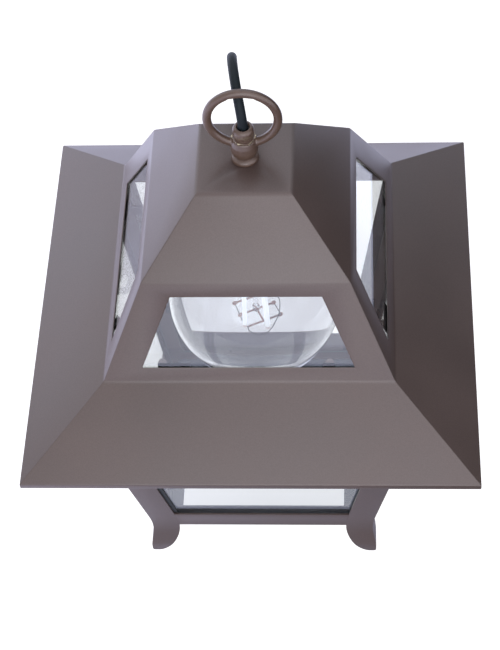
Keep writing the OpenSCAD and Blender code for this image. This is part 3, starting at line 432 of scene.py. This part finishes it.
def piece(name, data):
    """A new object of the given mesh, camera or lamp, in the scene."""
    made = bpy.data.objects.new(name, data)
    bpy.context.scene.collection.objects.link(made)
    return made


def coloured(obj, *finishes):
    """Gives an object its finishes in place of any that it has."""
    obj.data.materials.clear()
    for finish in finishes:
        obj.data.materials.append(make_finishes()[finish])


def dressed(obj, finish, body, replaced=()):
    """Gives a piece its finish and its body, and hides the CAD nodes that it stands for."""
    coloured(obj, finish)
    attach(obj, body)
    if replaced:
        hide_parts(*replaced)


def shade(mesh, angle):
    """Smooth shading, with sharp edges past the angle in degrees."""
    mesh.polygons.foreach_set("use_smooth", [True] * len(mesh.polygons))
    mesh.set_sharp_from_angle(angle=math.radians(angle))
    mesh.update()


def mesh_of(name, bm):
    """The faces built so far as a mesh; what built them is freed."""
    mesh = bpy.data.meshes.new(name)
    bm.to_mesh(mesh)
    bm.free()
    return mesh


def outward(name, bm, angle):
    """A piece of faces that already turn the same way, set to face outwards."""
    if bm.calc_volume(signed=True) < 0:
        bmesh.ops.reverse_faces(bm, faces=bm.faces)
    mesh = mesh_of(name, bm)
    shade(mesh, angle)
    return piece(name, mesh)


def plain_mesh(obj, angle):
    """The evaluated object as a plain shaded mesh, with its modifiers gone."""
    depsgraph = bpy.context.evaluated_depsgraph_get()
    mesh = bpy.data.meshes.new_from_object(obj.evaluated_get(depsgraph))
    obj.modifiers.clear()
    obj.data = mesh
    shade(mesh, angle)


def circle(bm, z, radii):
    """Points round the lantern's axis at one height, one for each radius given."""
    steps = len(radii)
    return [bm.verts.new((r * math.cos(2 * math.pi * k / steps),
                          r * math.sin(2 * math.pi * k / steps), z))
            for k, r in enumerate(radii)]


def skinned(bm, rings):
    """Faces from each ring of points to the next."""
    for a, b in zip(rings, rings[1:]):
        for k in range(len(a)):
            n = (k + 1) % len(a)
            bm.faces.new((a[k], a[n], b[n], b[k]))


def lathed(name, outline, steps=96, angle=35):
    """A closed outline of (radius, height) turned about the lantern's axis."""
    bm = bmesh.new()
    rings = [circle(bm, z, [r] * (steps if r > 1e-7 else 1)) for r, z in outline]
    for a, b in zip(rings, rings[1:] + rings[:1]):
        if len(a) == len(b) == 1:
            continue
        for k in range(steps):
            n = (k + 1) % steps
            corners = (a[k % len(a)], b[k % len(b)], b[n % len(b)], a[n % len(a)])
            bm.faces.new(list(dict.fromkeys(corners)))
    return outward(name, bm, angle)


def thread(name, rows, bore_rows, pitch, depth, steps=72):
    """A turned piece with a round thread: rows of (height, radius, share of the thread)."""
    bm = bmesh.new()
    rings = []
    for z, r, share in [*rows, *bore_rows]:
        waves = [0.5 - 0.5 * math.cos(2 * math.pi * (z / pitch - k / steps)) for k in range(steps)]
        rings.append(circle(bm, z, [r - depth * wave * share for wave in waves]))
    skinned(bm, rings + rings[:1])
    return outward(name, bm, 50)


def cut_away(obj, tools):
    """The piece with the tool shapes cut out of it."""
    for tool in tools:
        cut = obj.modifiers.new("cut", "BOOLEAN")
        cut.operation = "DIFFERENCE"
        cut.solver = "EXACT"
        cut.object = tool
    plain_mesh(obj, 30)
    for tool in tools:
        bpy.data.objects.remove(tool)
    return obj


def block(name, size, at):
    """A box of the given size round a point."""
    bm = bmesh.new()
    bmesh.ops.create_cube(bm, size=1.0)
    for v in bm.verts:
        v.co = Vector(at) + Vector((v.co.x * size[0], v.co.y * size[1], v.co.z * size[2]))
    return piece(name, mesh_of(name, bm))


def curve_points(points, step):
    """Points at even steps on a smooth line through the given ones."""
    p = [Vector(q) for q in points]
    p = [2 * p[0] - p[1]] + p + [2 * p[-1] - p[-2]]
    dense = []
    for i in range(1, len(p) - 2):
        for k in range(8):
            t = k / 8
            dense.append(0.5 * (2 * p[i] + (p[i + 1] - p[i - 1]) * t
                         + (2 * p[i - 1] - 5 * p[i] + 4 * p[i + 1] - p[i + 2]) * t * t
                         + (3 * p[i] - p[i - 1] - 3 * p[i + 1] + p[i + 2]) * t ** 3))
    dense.append(p[-2])
    out, carried = [dense[0]], 0.0
    for a, b in zip(dense, dense[1:]):
        gap = (b - a).length
        while carried + gap >= step:
            a = a.lerp(b, (step - carried) / gap)
            gap = (b - a).length
            carried = 0.0
            out.append(a)
        carried += gap
    if (out[-1] - dense[-1]).length > step * 0.35:
        out.append(dense[-1])
    else:
        out[-1] = dense[-1]
    return out


def tube(name, points, radius, sides=12, along=1.0, first=None, last=None):
    """A round tube on the points, closed at both ends, with its length as UV."""
    bm = bmesh.new()
    layer = bm.loops.layers.uv.new("UVMap")
    dirs = []
    for i in range(len(points)):
        d = points[min(i + 1, len(points) - 1)] - points[max(i - 1, 0)]
        dirs.append(d.normalized())
    dirs[0] = Vector(first).normalized() if first else dirs[0]
    dirs[-1] = Vector(last).normalized() if last else dirs[-1]
    side = dirs[0].orthogonal().normalized()
    rings, at = [], 0.0
    for i, q in enumerate(points):
        side = (side - dirs[i] * side.dot(dirs[i])).normalized()
        other = dirs[i].cross(side)
        at += (q - points[i - 1]).length if i else 0
        ring = [bm.verts.new(q + radius * (side * math.cos(2 * math.pi * k / sides)
                                           + other * math.sin(2 * math.pi * k / sides)))
                for k in range(sides)]
        rings.append((ring, at))
    for (a, ua), (b, ub) in zip(rings, rings[1:]):
        for k in range(sides):
            n = (k + 1) % sides
            face = bm.faces.new((a[k], a[n], b[n], b[k]))
            for loop, uv in zip(face.loops, ((ua, k), (ua, k + 1), (ub, k + 1), (ub, k))):
                loop[layer].uv = (uv[0] * along, uv[1] / sides)
    bm.faces.new(list(reversed(rings[0][0])))
    bm.faces.new(rings[-1][0])
    bmesh.ops.recalc_face_normals(bm, faces=bm.faces)
    mesh = mesh_of(name, bm)
    shade(mesh, 50)
    return piece(name, mesh)


def copied(node, name):
    """A merged copy of a CAD node's mesh, with its flat faces made whole again."""
    bm = bmesh.new()
    bm.from_mesh(CAD[node].data)
    bmesh.ops.remove_doubles(bm, verts=bm.verts, dist=2e-6)
    bmesh.ops.dissolve_limit(bm, angle_limit=math.radians(0.4), verts=bm.verts, edges=bm.edges)
    return piece(name, mesh_of(name, bm))


def joined(name, objects):
    """Several made objects as one mesh piece."""
    bm = bmesh.new()
    for o in objects:
        bm.from_mesh(o.data)
    for o in objects:
        bpy.data.objects.remove(o)
    return piece(name, mesh_of(name, bm))


def bundled(name, wires, finish, body, node):
    """Wires joined into one piece that stands for a CAD node."""
    made = joined(name, wires)
    shade(made.data, 50)
    dressed(made, finish, body, (node,))
    return made


def softened(node, ending, width, finish, body, angle=32):
    """A CAD node with the rounded edges that its coat or its making leaves."""
    obj = copied(node, f"{node}_{ending}")
    bevel = obj.modifiers.new("edge", "BEVEL")
    bevel.width = width
    bevel.segments = 2
    bevel.limit_method = "ANGLE"
    bevel.angle_limit = math.radians(angle)
    plain_mesh(obj, 38)
    dressed(obj, finish, body, (node,))


def spots_tree(name):
    """A node tree that sets one template on every point, turned as the point says."""
    tree = bpy.data.node_groups.new(name, "GeometryNodeTree")
    sockets = {}
    for label, way, kind in (
        ("Geometry", "INPUT", "Geometry"), ("Template", "INPUT", "Object"),
        ("Size", "INPUT", "Float"), ("Material", "INPUT", "Material"),
        ("Geometry", "OUTPUT", "Geometry"),
    ):
        sockets[label] = tree.interface.new_socket(
            label, in_out=way, socket_type="NodeSocket" + kind)
    sockets["Size"].default_value = 1.0
    start, end, info, turned, spots, real, paint = (new_node(tree, kind) for kind in (
        "NodeGroupInput", "NodeGroupOutput", "GeometryNodeObjectInfo",
        "FunctionNodeEulerToRotation", "GeometryNodeInstanceOnPoints",
        "GeometryNodeRealizeInstances", "GeometryNodeSetMaterial"))
    turn = new_node(tree, "GeometryNodeInputNamedAttribute", {"Name": "turn"},
                    data_type="FLOAT_VECTOR")
    for source, out, sink, into in (
        (start, "Geometry", spots, "Points"), (start, "Template", info, "Object"),
        (info, "Geometry", spots, "Instance"), (turn, "Attribute", turned, "Euler"),
        (turned, "Rotation", spots, "Rotation"), (start, "Size", spots, "Scale"),
        (spots, "Instances", real, "Geometry"), (real, "Geometry", paint, "Geometry"),
        (start, "Material", paint, "Material"), (paint, "Geometry", end, "Geometry"),
    ):
        tree.links.new(source.outputs[out], sink.inputs[into])
    return tree, {label: socket.identifier for label, socket in sockets.items()}


def set_out(node, ending, template, places, finish, size=1.0):
    """One template on each (point, turn) place, as one piece that stands for a CAD node."""
    name = f"{node}_{ending}"
    mesh = bpy.data.meshes.new(name)
    mesh.from_pydata([p for p, _ in places], [], [])
    turns = mesh.attributes.new("turn", "FLOAT_VECTOR", "POINT")
    turns.data.foreach_set("vector", [c for _, t in places for c in t])
    obj = piece(name, mesh)
    tree, names = spots_tree(name + "_places")
    made = obj.modifiers.new("places", "NODES")
    made.node_group = tree
    made[names["Template"]] = template
    made[names["Size"]] = size
    made[names["Material"]] = make_finishes()[finish]
    plain_mesh(obj, 38)
    bpy.data.objects.remove(template)
    dressed(obj, finish, "lantern", (node,))


# Pieces

class LANTERN_OT_stage(bpy.types.Operator):
    """White floor, soft lamps and the camera of the lantern's portrait"""

    bl_idname = "lantern.stage"
    bl_label = "Floor, lamps and camera"

    def execute(self, context):
        look = context.scene.lantern_stage
        self.camera(context.scene)
        self.floor(look)
        self.lamp("side_softbox", (-1.05, 0.8, 0.65), (0, 0, 0.25), 1.0, look.side_power,
                  (0.84, 0.87, 1))
        self.lamp("front_softbox", (-0.1, -1.4, 1.02), (0, 0, 0.2), 1.48, look.front_power,
                  (0.89, 0.95, 1.02))
        self.sky(context.scene, look)
        context.scene.view_settings.view_transform = "Standard"
        return {"FINISHED"}

    def camera(self, scene):
        """The camera at the photograph's viewing angle."""
        data = bpy.data.cameras.new("portrait_camera")
        data.sensor_width = 36
        data.lens = CAMERA_LENS
        data.clip_start = 0.05
        data.clip_end = 50
        camera = piece("portrait_camera", data)
        ahead = Vector(CAMERA_AHEAD).normalized()
        level = ahead.cross(Vector((0, 0, 1))).normalized()
        upright = level.cross(ahead)
        roll = math.radians(CAMERA_ROLL)
        right = math.cos(roll) * level + math.sin(roll) * upright
        up = -math.sin(roll) * level + math.cos(roll) * upright
        camera.matrix_world = Matrix.Translation(CAMERA_AT) @ Matrix(
            (right, up, -ahead)).transposed().to_4x4()
        scene.camera = camera

    def floor(self, look):
        """White to the camera, with a level of its own to glass, to mirrors and to the body."""
        bm = bmesh.new()
        bmesh.ops.create_grid(bm, x_segments=1, y_segments=1, size=6)
        floor = piece("studio_floor", mesh_of("studio_floor", bm))
        made, tree, shader = material("studio_floor")
        path = new_node(tree, "ShaderNodeLightPath").outputs
        place, parts = placed(tree)
        away = distance(tree, place)
        # Seen straight, seen through glass with painted shade close to the lantern, and the light
        # that it sends up into the body
        direct = combined(tree, "MULTIPLY", path["Is Camera Ray"], 0.95)
        through = combined(tree, "MULTIPLY", path["Is Transmission Ray"],
                           mapped(tree, away, 0.09, 0.13, 0.6, 0.95))
        under = combined(tree, "MULTIPLY", mapped(tree, away, 0.07, 0.11, look.under_glow, 0.0),
                         path["Is Diffuse Ray"])
        glow = combined(tree, "ADD", combined(tree, "ADD", direct, through), under)
        hue = mixed(tree, path["Is Diffuse Ray"], (1, 0.985, 0.96, 1), (0.78, 1, 1, 1))
        fed(tree, shader, {
            "Base Color": (*look.floor, 1), "Roughness": 0.9, "Specular IOR Level": 0.0,
            "Emission Color": hue, "Emission Strength": glow})
        # Mirrored: bright at the left and far in front, with painted shade close to the lantern
        left_back = mapped(tree, slanted(tree, parts), 0.0, 0.4, 1.9, 0.05)
        far_left = mapped(tree, parts["X"], -1.3, -0.1, 1.2, 0.0)
        far_front = mapped(tree, parts["Y"], -1.4, -0.7, 2.6, 0.0)
        brightest = combined(tree, "MAXIMUM", combined(tree, "ADD", left_back, far_left),
                             far_front)
        near = mapped(tree, away, 0.1, 0.5, 0.5, 1.0)
        seen = new_node(tree, "ShaderNodeEmission", {
            "Color": (0.84, 0.87, 1.15, 1),
            "Strength": combined(tree, "MULTIPLY", brightest, near)})
        mirrored = combined(tree, "SUBTRACT", path["Is Glossy Ray"], path["Is Transmission Ray"],
                            clamped=True)
        surfaced(tree, mirrored, shader.outputs["BSDF"], seen.outputs["Emission"])
        floor.data.materials.append(made)

    def lamp(self, name, place, aim, size, power, colour):
        """A round soft lamp that looks at a point."""
        data = bpy.data.lights.new(name, "AREA")
        data.shape = "DISK"
        data.size = size
        data.energy = power
        data.color = colour
        lamp = piece(name, data)
        lamp.location = place
        lamp.rotation_euler = (Vector(aim) - Vector(place)).to_track_quat("-Z", "Y").to_euler()

    def sky(self, scene, look):
        """White to the camera; to the object a room that is bright and cool at the left."""
        world = bpy.data.worlds.new("studio_room")
        scene.world = world
        world.use_nodes = True
        tree = world.node_tree
        path = new_node(tree, "ShaderNodeLightPath").outputs
        parts = placed(tree, "Generated")[1]
        # Mirrored: at the back bright at the left and higher up, in front brighter to the right
        left_back = mapped(tree, slanted(tree, parts), 0.22, 0.47, 1.0, 0.0)
        height = mapped(tree, parts["Z"], 0.3, 0.7, 1.0, 2.3)
        behind = combined(tree, "MULTIPLY", left_back, height)
        before = mapped(tree, parts["X"], -0.35, 0.35, 1.25, 3.1)
        glossy = mixed(tree, mapped(tree, parts["Y"], -0.3, 0.3, 1.0, 0.0), behind, before, "FLOAT")
        # Diffuse light first, then what each other kind of ray sees in its place
        level = mapped(tree, parts["X"], -1, 1, look.sky * 1.15, look.sky * 0.25)
        for kind, value in (("Is Glossy Ray", glossy), ("Is Camera Ray", 1.0),
                            ("Is Transmission Ray", 1.0)):
            level = mixed(tree, path[kind], level, value, "FLOAT")
        cast = mixed(tree, path["Is Camera Ray"], (0.90, 0.95, 1.06, 1), (1, 1, 1, 1))
        fed(tree, tree.nodes["Background"], {"Color": cast, "Strength": level})


class LANTERN_OT_cord(bpy.types.Operator):
    """Round supply cord from the grip nut over the back to its stored coil, with its bare end"""

    bl_idname = "lantern.cord"
    bl_label = "Supply cord"

    def execute(self, context):
        look = context.scene.lantern_cord
        path = curve_points([Vector(q) * MM for q in self.route()], CORD_STEP)
        cord = tube("supply_cord_sheath", path, look.diameter / 2, look.sides,
                    1 / CORD_GRAIN, (0, 0, 1), (-1, 0, 0))
        dressed(cord, "cord_sheath", "lantern",
                ("supply_cord", "cord_coil", "cord_tail"))
        cores, tips = self.bare_end(path[-1])
        coloured(CAD["cord_in_hub"], "cord_sheath")
        return {"FINISHED"}

    def route(self):
        """The run to the ground, the coil wound in and out again over itself, and the tail."""
        start = CORD_RUN[-1]
        out = COIL_IN + COIL_PITCH * COIL_TURNS / 2
        middle = (start[0] + out, start[1] + 2 * CORD_LIES)
        coil = []
        for i in range(COIL_TURNS * COIL_POINTS + 1):
            u = i / COIL_POINTS
            r = COIL_IN + COIL_PITCH * abs(u - COIL_TURNS / 2)
            t = min(1, max(0, 2 * (u - COIL_TURNS / 2) + 0.5))
            coil.append((middle[0] - r * math.cos(2 * math.pi * u),
                         middle[1] + r * math.sin(2 * math.pi * u),
                         CORD_LIES + COIL_PITCH * t * t * (3 - 2 * t)))
        after = (start[0], middle[1] + 2 * CORD_LIES, CORD_LIES + COIL_PITCH)
        return [*CORD_RUN, *coil, after, *CORD_TAIL]

    def bare_end(self, end):
        """Three sleeved cores that fan out of the sheath, each with a bare twisted tip."""
        cores, tips = [], []
        core_r, strand_r, tip = 0.0011, 0.00021, 0.009
        # Sleeve, place in the sheath, how far it fans out and how far it reaches, in millimetres
        fan = (("core_sleeve", -1.25, -0.75, -4.5, 30), ("core_brown", 1.25, -0.75, 4, 34),
               ("core_green", 0, 1.3, 0.5, 26))
        for k, (sleeve, y, z, away, reach) in enumerate(fan):
            run = [end + Vector(q) * MM for q in (
                (2, y, z), (-5, y * 1.1, z), (-14, y * 1.3 + away * 0.3, z * 0.9 - 0.2),
                (-reach, y + away, -1.6 if z < 0 else -0.6))]
            core = tube(f"cord_core_{k + 1}", curve_points(run, 0.002), core_r)
            dressed(core, sleeve, "lantern", ("cord_cores",) if k == 0 else ())
            cores.append(core)
            ahead = (run[-1] - run[-2]).normalized()
            for s in range(7):
                a = 2 * math.pi * s / 6
                off = Vector((0, math.cos(a), math.sin(a))) * (2 * strand_r if s else 0)
                strand = [run[-1] + ahead * (tip * t / 6) + off * (1 - 0.1 * t)
                          for t in range(7)]
                tips.append(tube("strand", strand, strand_r, 6))
        return cores, bundled("cord_core_tips", tips, "copper", "lantern", "core_tips")


class LANTERN_OT_sheet_metal(bpy.types.Operator):
    """Coated sheet-metal pieces of the roof and body, with their soft edges"""

    bl_idname = "lantern.sheet_metal"
    bl_label = "Roof and body sheet"

    def execute(self, context):
        edge = context.scene.lantern_finish.coat_edge
        for node, share in (
            ("roof_shell", 1.3), ("top_frame", 1), ("bottom_tray", 1), ("leg_front_left", 1),
            ("leg_front_right", 1), ("leg_back_right", 1), ("leg_back_left", 1),
            ("rail_front", 1), ("rail_right", 1), ("rail_back", 1), ("rail_left", 1),
            ("roof_brackets", 1), ("roof_pane_clips", 0.4),
        ):
            finish = "tray_coat" if node == "bottom_tray" else "coat"
            softened(node, "coated", edge * share, finish, "lantern")
        return {"FINISHED"}


class LANTERN_OT_panes(bpy.types.Operator):
    """Glass panes with ground edges, and the rubber that seats them"""

    bl_idname = "lantern.panes"
    bl_label = "Panes, tape and pads"

    def execute(self, context):
        for kind in ("roof_pane", "side_pane"):
            for side in ("front", "right", "back", "left"):
                node = f"{kind}_{side}"
                pane = copied(node, node + "_glass")
                dressed(pane, "glass", "lantern", (node,))
                pane.data.materials.append(make_finishes()["glass_edge"])
                # The two broad faces are clear, and the narrow ones between them are ground
                area = max(p.area for p in pane.data.polygons)
                for p in pane.data.polygons:
                    p.material_index = 0 if p.area > area * 0.5 else 1
        for node in ("glazing_tape", "roof_pane_pads", "grip_sleeve"):
            coloured(CAD[node], "rubber")
        return {"FINISHED"}


class LANTERN_OT_hanging_hardware(bpy.types.Operator):
    """Cast ring and ball, the collar under them and the coated grip nut"""

    bl_idname = "lantern.hanging_hardware"
    bl_label = "Ring, collar and grip nut"

    def execute(self, context):
        self.ring()
        softened("loop_collar", "coated", 0.0002, "cast_coat", "lantern")
        softened("cord_grip_nut", "turned", 0.0003, "worn_coat", "loop", 25)
        return {"FINISHED"}

    def ring(self):
        """The casting: its CAD shape with a fuller ball, and the bar flows into it."""
        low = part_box("hanging_loop")[0].z / MM
        bar = copied("hanging_loop", "hanging_loop_bar")
        line = [(5.3, low)]
        line += [(math.sqrt(BALL_R ** 2 - (low + h - BALL_Z) ** 2), low + h)
                 for h in (0, 0.8, 1.8, 3, 4.2, 5.6, 7, 8.2)]
        line += [(r, low + h) for r, h in ((8.9, 10), (8.3, 11.9), (7.9, 13.6), (7.6, 14.3),
                                           (5.3, 14.3))]
        ball = lathed("hanging_loop_ball", [(r * MM, z * MM) for r, z in line])
        obj = joined("hanging_loop_cast", [bar, ball])
        remesh = obj.modifiers.new("flow", "REMESH")
        remesh.mode = "VOXEL"
        remesh.voxel_size = 0.00045
        even = obj.modifiers.new("even", "CORRECTIVE_SMOOTH")
        even.smooth_type = "SIMPLE"
        even.iterations = 8
        even.factor = 0.6
        even.use_only_smooth = True
        plain_mesh(obj, 60)
        dressed(obj, "cast_coat", "loop", ("hanging_loop",))


class LANTERN_OT_fasteners(bpy.types.Operator):
    """Screws, nuts, clips and bracket in their metals"""

    bl_idname = "lantern.fasteners"
    bl_label = "Screws, nuts and bracket"

    def execute(self, context):
        for node, finish in (
            ("side_pane_clips", "black_steel"), ("star_washer", "steel"), ("nipple_nuts", "brass"),
            ("socket_bracket", "steel"), ("socket_contact", "brass"),
            ("socket_leads", "core_brown"),
        ):
            coloured(CAD[node], finish)
        self.thumbscrews()
        self.small_screws()
        self.nipple()
        return {"FINISHED"}

    def thumbscrews(self):
        """Four knurled thumb screws up through the top frame into the roof's brackets."""
        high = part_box("roof_thumbscrews")[1]
        away, seat = high.x - 5.5 * MM, high.z - 4.2 * MM
        teeth, steps = 36, 216
        # Rows of height, radius and whether it is knurled, in millimetres
        bm = bmesh.new()
        rings = []
        for z, r, deep in ((0, 0.001, 0), (0, 4.9, 0), (-0.7, 5.4, 1), (-6.2, 5.4, 1),
                           (-6.9, 4.9, 0), (-7, 4.6, 0), (-7, 2.2, 0), (-6.4, 1.6, 0),
                           (-6.4, 0.001, 0)):
            rings.append(circle(bm, z * MM, [
                (r + 0.16 * deep * math.cos(2 * math.pi * k * teeth / steps)) * MM
                for k in range(steps)]))
        skinned(bm, rings)
        head = outward("thumb_head", bm, 25)
        rows = [(4.2 * MM, 2.1 * MM, 0), (3.9 * MM, 2.5 * MM, 1)]
        rows += [(3.9 * MM - 4.1 * MM * i / 40, 2.5 * MM, 1) for i in range(1, 41)]
        bore = [(-0.2 * MM, 0.01 * MM, 0), (4.2 * MM, 0.01 * MM, 0)]
        shank = thread("thumb_shank", rows, bore, 0.8 * MM, 0.3 * MM, 36)
        places = [((away * math.sin(a), -away * math.cos(a), seat), (0, 0, a + 0.4 * a))
                  for a in (0, math.pi / 2, math.pi, 3 * math.pi / 2)]
        whole = joined("thumbscrew", [head, shank])
        set_out("roof_thumbscrews", "knurled", whole, places, "steel")

    def pan_head(self, r, h, crossed=False):
        """A pan-headed screw seen from outside: its dome with a slot or a cross recess."""
        arc = [(r * math.sin(math.radians(a)), h * 0.35 + h * 0.65 * math.cos(math.radians(a)))
               for a in range(0, 91, 10)]
        outline = [(0, -0.2), *[(r - 0.1, -0.2), (r, 0)], *arc[::-1]]
        head = lathed("pan_head", [(q * MM, z * MM) for q, z in outline], 40, 40)
        arm = 2 * r * 0.62
        cuts = [(arm, 0.5, 1.6), (0.5, arm, 1.6)] if crossed else [(3 * r, 0.7, 1.4)]
        return cut_away(head, [block("cut", [side * MM for side in size], (0, 0, (h + 0.1) * MM))
                               for size in cuts])

    def small_screws(self):
        """Pan-headed screws of the tray, the bracket, the earth and the terminals."""
        low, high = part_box("tray_screws")
        away, seat = high.y - 2.8 * MM, low.z + 2 * MM
        places = []
        for k in range(4):
            turn = Matrix.Rotation(math.pi / 2 * k, 3, "Z")
            for x in (-32 * MM, 32 * MM):
                at = turn @ Vector((x, -away, seat))
                places.append((tuple(at), (math.pi, 0, 0.7 * k + 20 * x)))
        set_out("tray_screws", "crossed", self.pan_head(2.8, 2.0, True), places, "steel")
        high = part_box("bracket_screws")[1]
        places = [((s * (high.x - 2.8 * MM), 0, high.z - 1.8 * MM), (0, 0, 0.5 + s))
                  for s in (-1, 1)]
        set_out("bracket_screws", "slotted", self.pan_head(2.8, 1.8), places, "steel")
        low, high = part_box("earth_screw")
        places = [(((low.x + high.x) / 2, 0, high.z - 2 * MM), (0, 0, 0.8))]
        set_out("earth_screw", "slotted", self.pan_head(2.9, 2.0), places, "earth_green")
        low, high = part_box("terminal_screws")
        middle = (low.z + high.z) / 2
        places = [((0, s * (high.y - 1.8 * MM), middle), (-math.pi / 2 * s, 0, 0.0))
                  for s in (-1, 1)]
        set_out("terminal_screws", "slotted", self.pan_head(2.6, 1.8), places, "brass")

    def nipple(self):
        """The hollow threaded nipple that the collar, the loop and the bracket share."""
        low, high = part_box("threaded_nipple")
        r, count = high.x, int((high.z - low.z) / (0.25 * MM))
        rows = [(high.z, r - 0.5 * MM, 0)]
        rows += [(high.z - 0.3 * MM - (high.z - low.z - 0.6 * MM) * i / count, r, 1)
                 for i in range(count + 1)]
        rows += [(low.z, r - 0.5 * MM, 0)]
        bore = [(low.z, 4.0 * MM, 0), (high.z, 4.0 * MM, 0)]
        nipple = thread("threaded_nipple_cut", rows, bore, 1.0 * MM, 0.45 * MM, 48)
        dressed(nipple, "steel", "lantern", ("threaded_nipple",))


class LANTERN_OT_lamp(bpy.types.Operator):
    """Clear globe lamp with its blown glass, threaded cap, stem, supports and filament"""

    bl_idname = "lantern.lamp"
    bl_label = "Globe lamp"

    def execute(self, context):
        for node, finish in (
            ("lamp_insulator", "insulator"), ("lamp_contact", "steel"), ("lamp_stem", "stem_glass"),
            ("socket_body", "porcelain"), ("socket_shell", "brass"),
        ):
            coloured(CAD[node], finish)
        self.globe()
        self.cap()
        self.supports()
        self.filament()
        self.stem_tubes()
        return {"FINISHED"}

    def globe(self):
        """The blown globe: one wall of even thickness, drawn in to the neck."""
        wall, join, neck = 1.0 * MM, math.radians(35), 12.2 * MM
        sides = []
        for r, n in ((GLOBE_R, neck), (GLOBE_R - wall, neck - wall)):
            foot = Vector((r * math.sin(join), GLOBE_Z + r * math.cos(join)))
            ends = (Vector((n, NECK_Z - 9 * MM)), Vector((n, NECK_Z - 24 * MM)),
                    foot + Vector((-15 * MM, 10.3 * MM)), foot)
            line = []
            for i in range(24):
                t = i / 24
                line.append(ends[0] * (1 - t) ** 3 + ends[1] * 3 * t * (1 - t) ** 2
                            + ends[2] * 3 * t * t * (1 - t) + ends[3] * t ** 3)
            for i in range(98):
                a = join + (math.pi - join) * i / 97
                line.append(Vector((r * math.sin(a) if i < 97 else 0, GLOBE_Z + r * math.cos(a))))
            sides.append([tuple(q) for q in line])
        outer, inner = sides
        outline = ([(0, NECK_Z), (neck, NECK_Z)] + outer + inner[::-1]
                   + [(neck - wall, NECK_Z - wall), (0, NECK_Z - wall)])
        globe = lathed("lamp_globe_blown", outline, 128, 60)
        dressed(globe, "lamp_glass", "lamp", ("lamp_globe",))

    def cap(self):
        """The lamp's cap: thin brass rolled to the round thread, open below, with its cone."""
        low, high = SHELL
        r, wall, count = high.x, 0.4 * MM, 44
        span = high.z - low.z - 2.4 * MM
        rows = [(high.z - 0.1 * MM, r - 5 * MM, 0), (high.z - 0.9 * MM, r - 2.2 * MM, 0)]
        rows += [(high.z - 2.2 * MM - span * i / count, r, min(1, i / 4, (count - i) / 4))
                 for i in range(count + 1)]
        inside = [(z, q - wall, share) for z, q, share in rows[::-1]]
        cap = thread("lamp_cap_rolled", rows, inside, CAP_PITCH * MM, CAP_DEPTH * MM)
        dressed(cap, "brass", "lamp", ("lamp_shell",))

    def supports(self):
        """Copper cross wires, with hooks at the ends that carry the filament."""
        wires = []
        for start, stop, start_hooked, stop_hooked in SUPPORT_WIRES:
            a, b = Vector(start), Vector(stop)
            ahead = (b - a).normalized()
            for end, way, hooked in ((a, -1, start_hooked), (b, 1, stop_hooked)):
                if hooked:
                    centre = end - ahead * way * 0.2
                    first = math.pi if way > 0 else 0
                    turns = [first + math.pi * k / 8 * 1.8 for k in range(9)]
                    bend = [centre + (ahead * math.cos(t) + Vector((0, 0, math.sin(t)))) * HOOK_BEND
                            for t in turns]
                    wires.append(tube("hook", [q * MM for q in bend], HOOK_WIRE * MM, 10))
            inset = ahead * 1.4
            a = a + inset if start_hooked else a
            b = b - inset if stop_hooked else b
            wires.append(tube("wire", [a * MM, (a + b) / 2 * MM, b * MM], CROSS_WIRE * MM, 10))
        bundled("lamp_supports_bent", wires, "copper", "lamp", "lamp_supports")

    def filament(self):
        """The dark filament, in the runs that the hooks part."""
        strands = []
        for run in FILAMENT_RUNS:
            points = curve_points([Vector(q) * MM for q in run], 0.0012)
            strands.append(tube("strand", points, FILAMENT_WIRE * MM, 8))
        bundled("lamp_filament_drawn", strands, "filament", "lamp", "lamp_filament")

    def stem_tubes(self):
        """Two pale tubes beside the stem, each with its ceramic end; both glow with painted
        highlight.
        """
        for k, (top, low, wide) in enumerate(STEM_TUBES):
            run = [Vector(top) * MM, (Vector(top) + Vector(low)) / 2 * MM, Vector(low) * MM]
            sleeve = tube(f"lamp_stem_tube_{k + 1}", run, wide * MM, 20)
            dressed(sleeve, "milk_glass_painted_glow", "lamp")
            ahead = (run[2] - run[0]).normalized()
            end = tube(f"lamp_tube_end_{k + 1}", [run[2], run[2] + ahead * 1.6 * MM,
                       run[2] + ahead * 3.2 * MM], wide * 0.86 * MM, 20)
            dressed(end, "ceramic", "lamp")


class LANTERN_PT_panel(bpy.types.Panel):
    bl_label = "Hanging lantern"
    bl_idname = "LANTERN_PT_panel"
    bl_space_type = "VIEW_3D"
    bl_region_type = "UI"
    bl_category = "Lantern"

    def draw(self, context):
        for group in GROUPS:
            box = self.layout.box()
            values = getattr(context.scene, group)
            for name in values.bl_rna.properties.keys():
                if name not in ("rna_type", "name"):
                    box.prop(values, name)
        for made in OPERATORS:
            self.layout.operator(made.bl_idname)


OPERATORS = (
    LANTERN_OT_stage, LANTERN_OT_cord, LANTERN_OT_sheet_metal, LANTERN_OT_panes,
    LANTERN_OT_hanging_hardware, LANTERN_OT_fasteners, LANTERN_OT_lamp,
)
GROUPS = {
    "lantern_finish": LanternFinish, "lantern_cord": LanternCord, "lantern_stage": LanternStage,
}
CLASSES = (*GROUPS.values(), *OPERATORS, LANTERN_PT_panel)


def register():
    for made in CLASSES:
        bpy.utils.register_class(made)
    for name, group in GROUPS.items():
        setattr(bpy.types.Scene, name, bpy.props.PointerProperty(type=group))


def unregister():
    for name in GROUPS:
        delattr(bpy.types.Scene, name)
    for made in reversed(CLASSES):
        bpy.utils.unregister_class(made)


def main():
    register()
    bpy.ops.lantern.stage()
    bpy.ops.lantern.cord()
    bpy.ops.lantern.sheet_metal()
    bpy.ops.lantern.panes()
    bpy.ops.lantern.hanging_hardware()
    bpy.ops.lantern.fasteners()
    bpy.ops.lantern.lamp()
    bpy.context.view_layer.update()


if __name__ == "__main__":
    main()
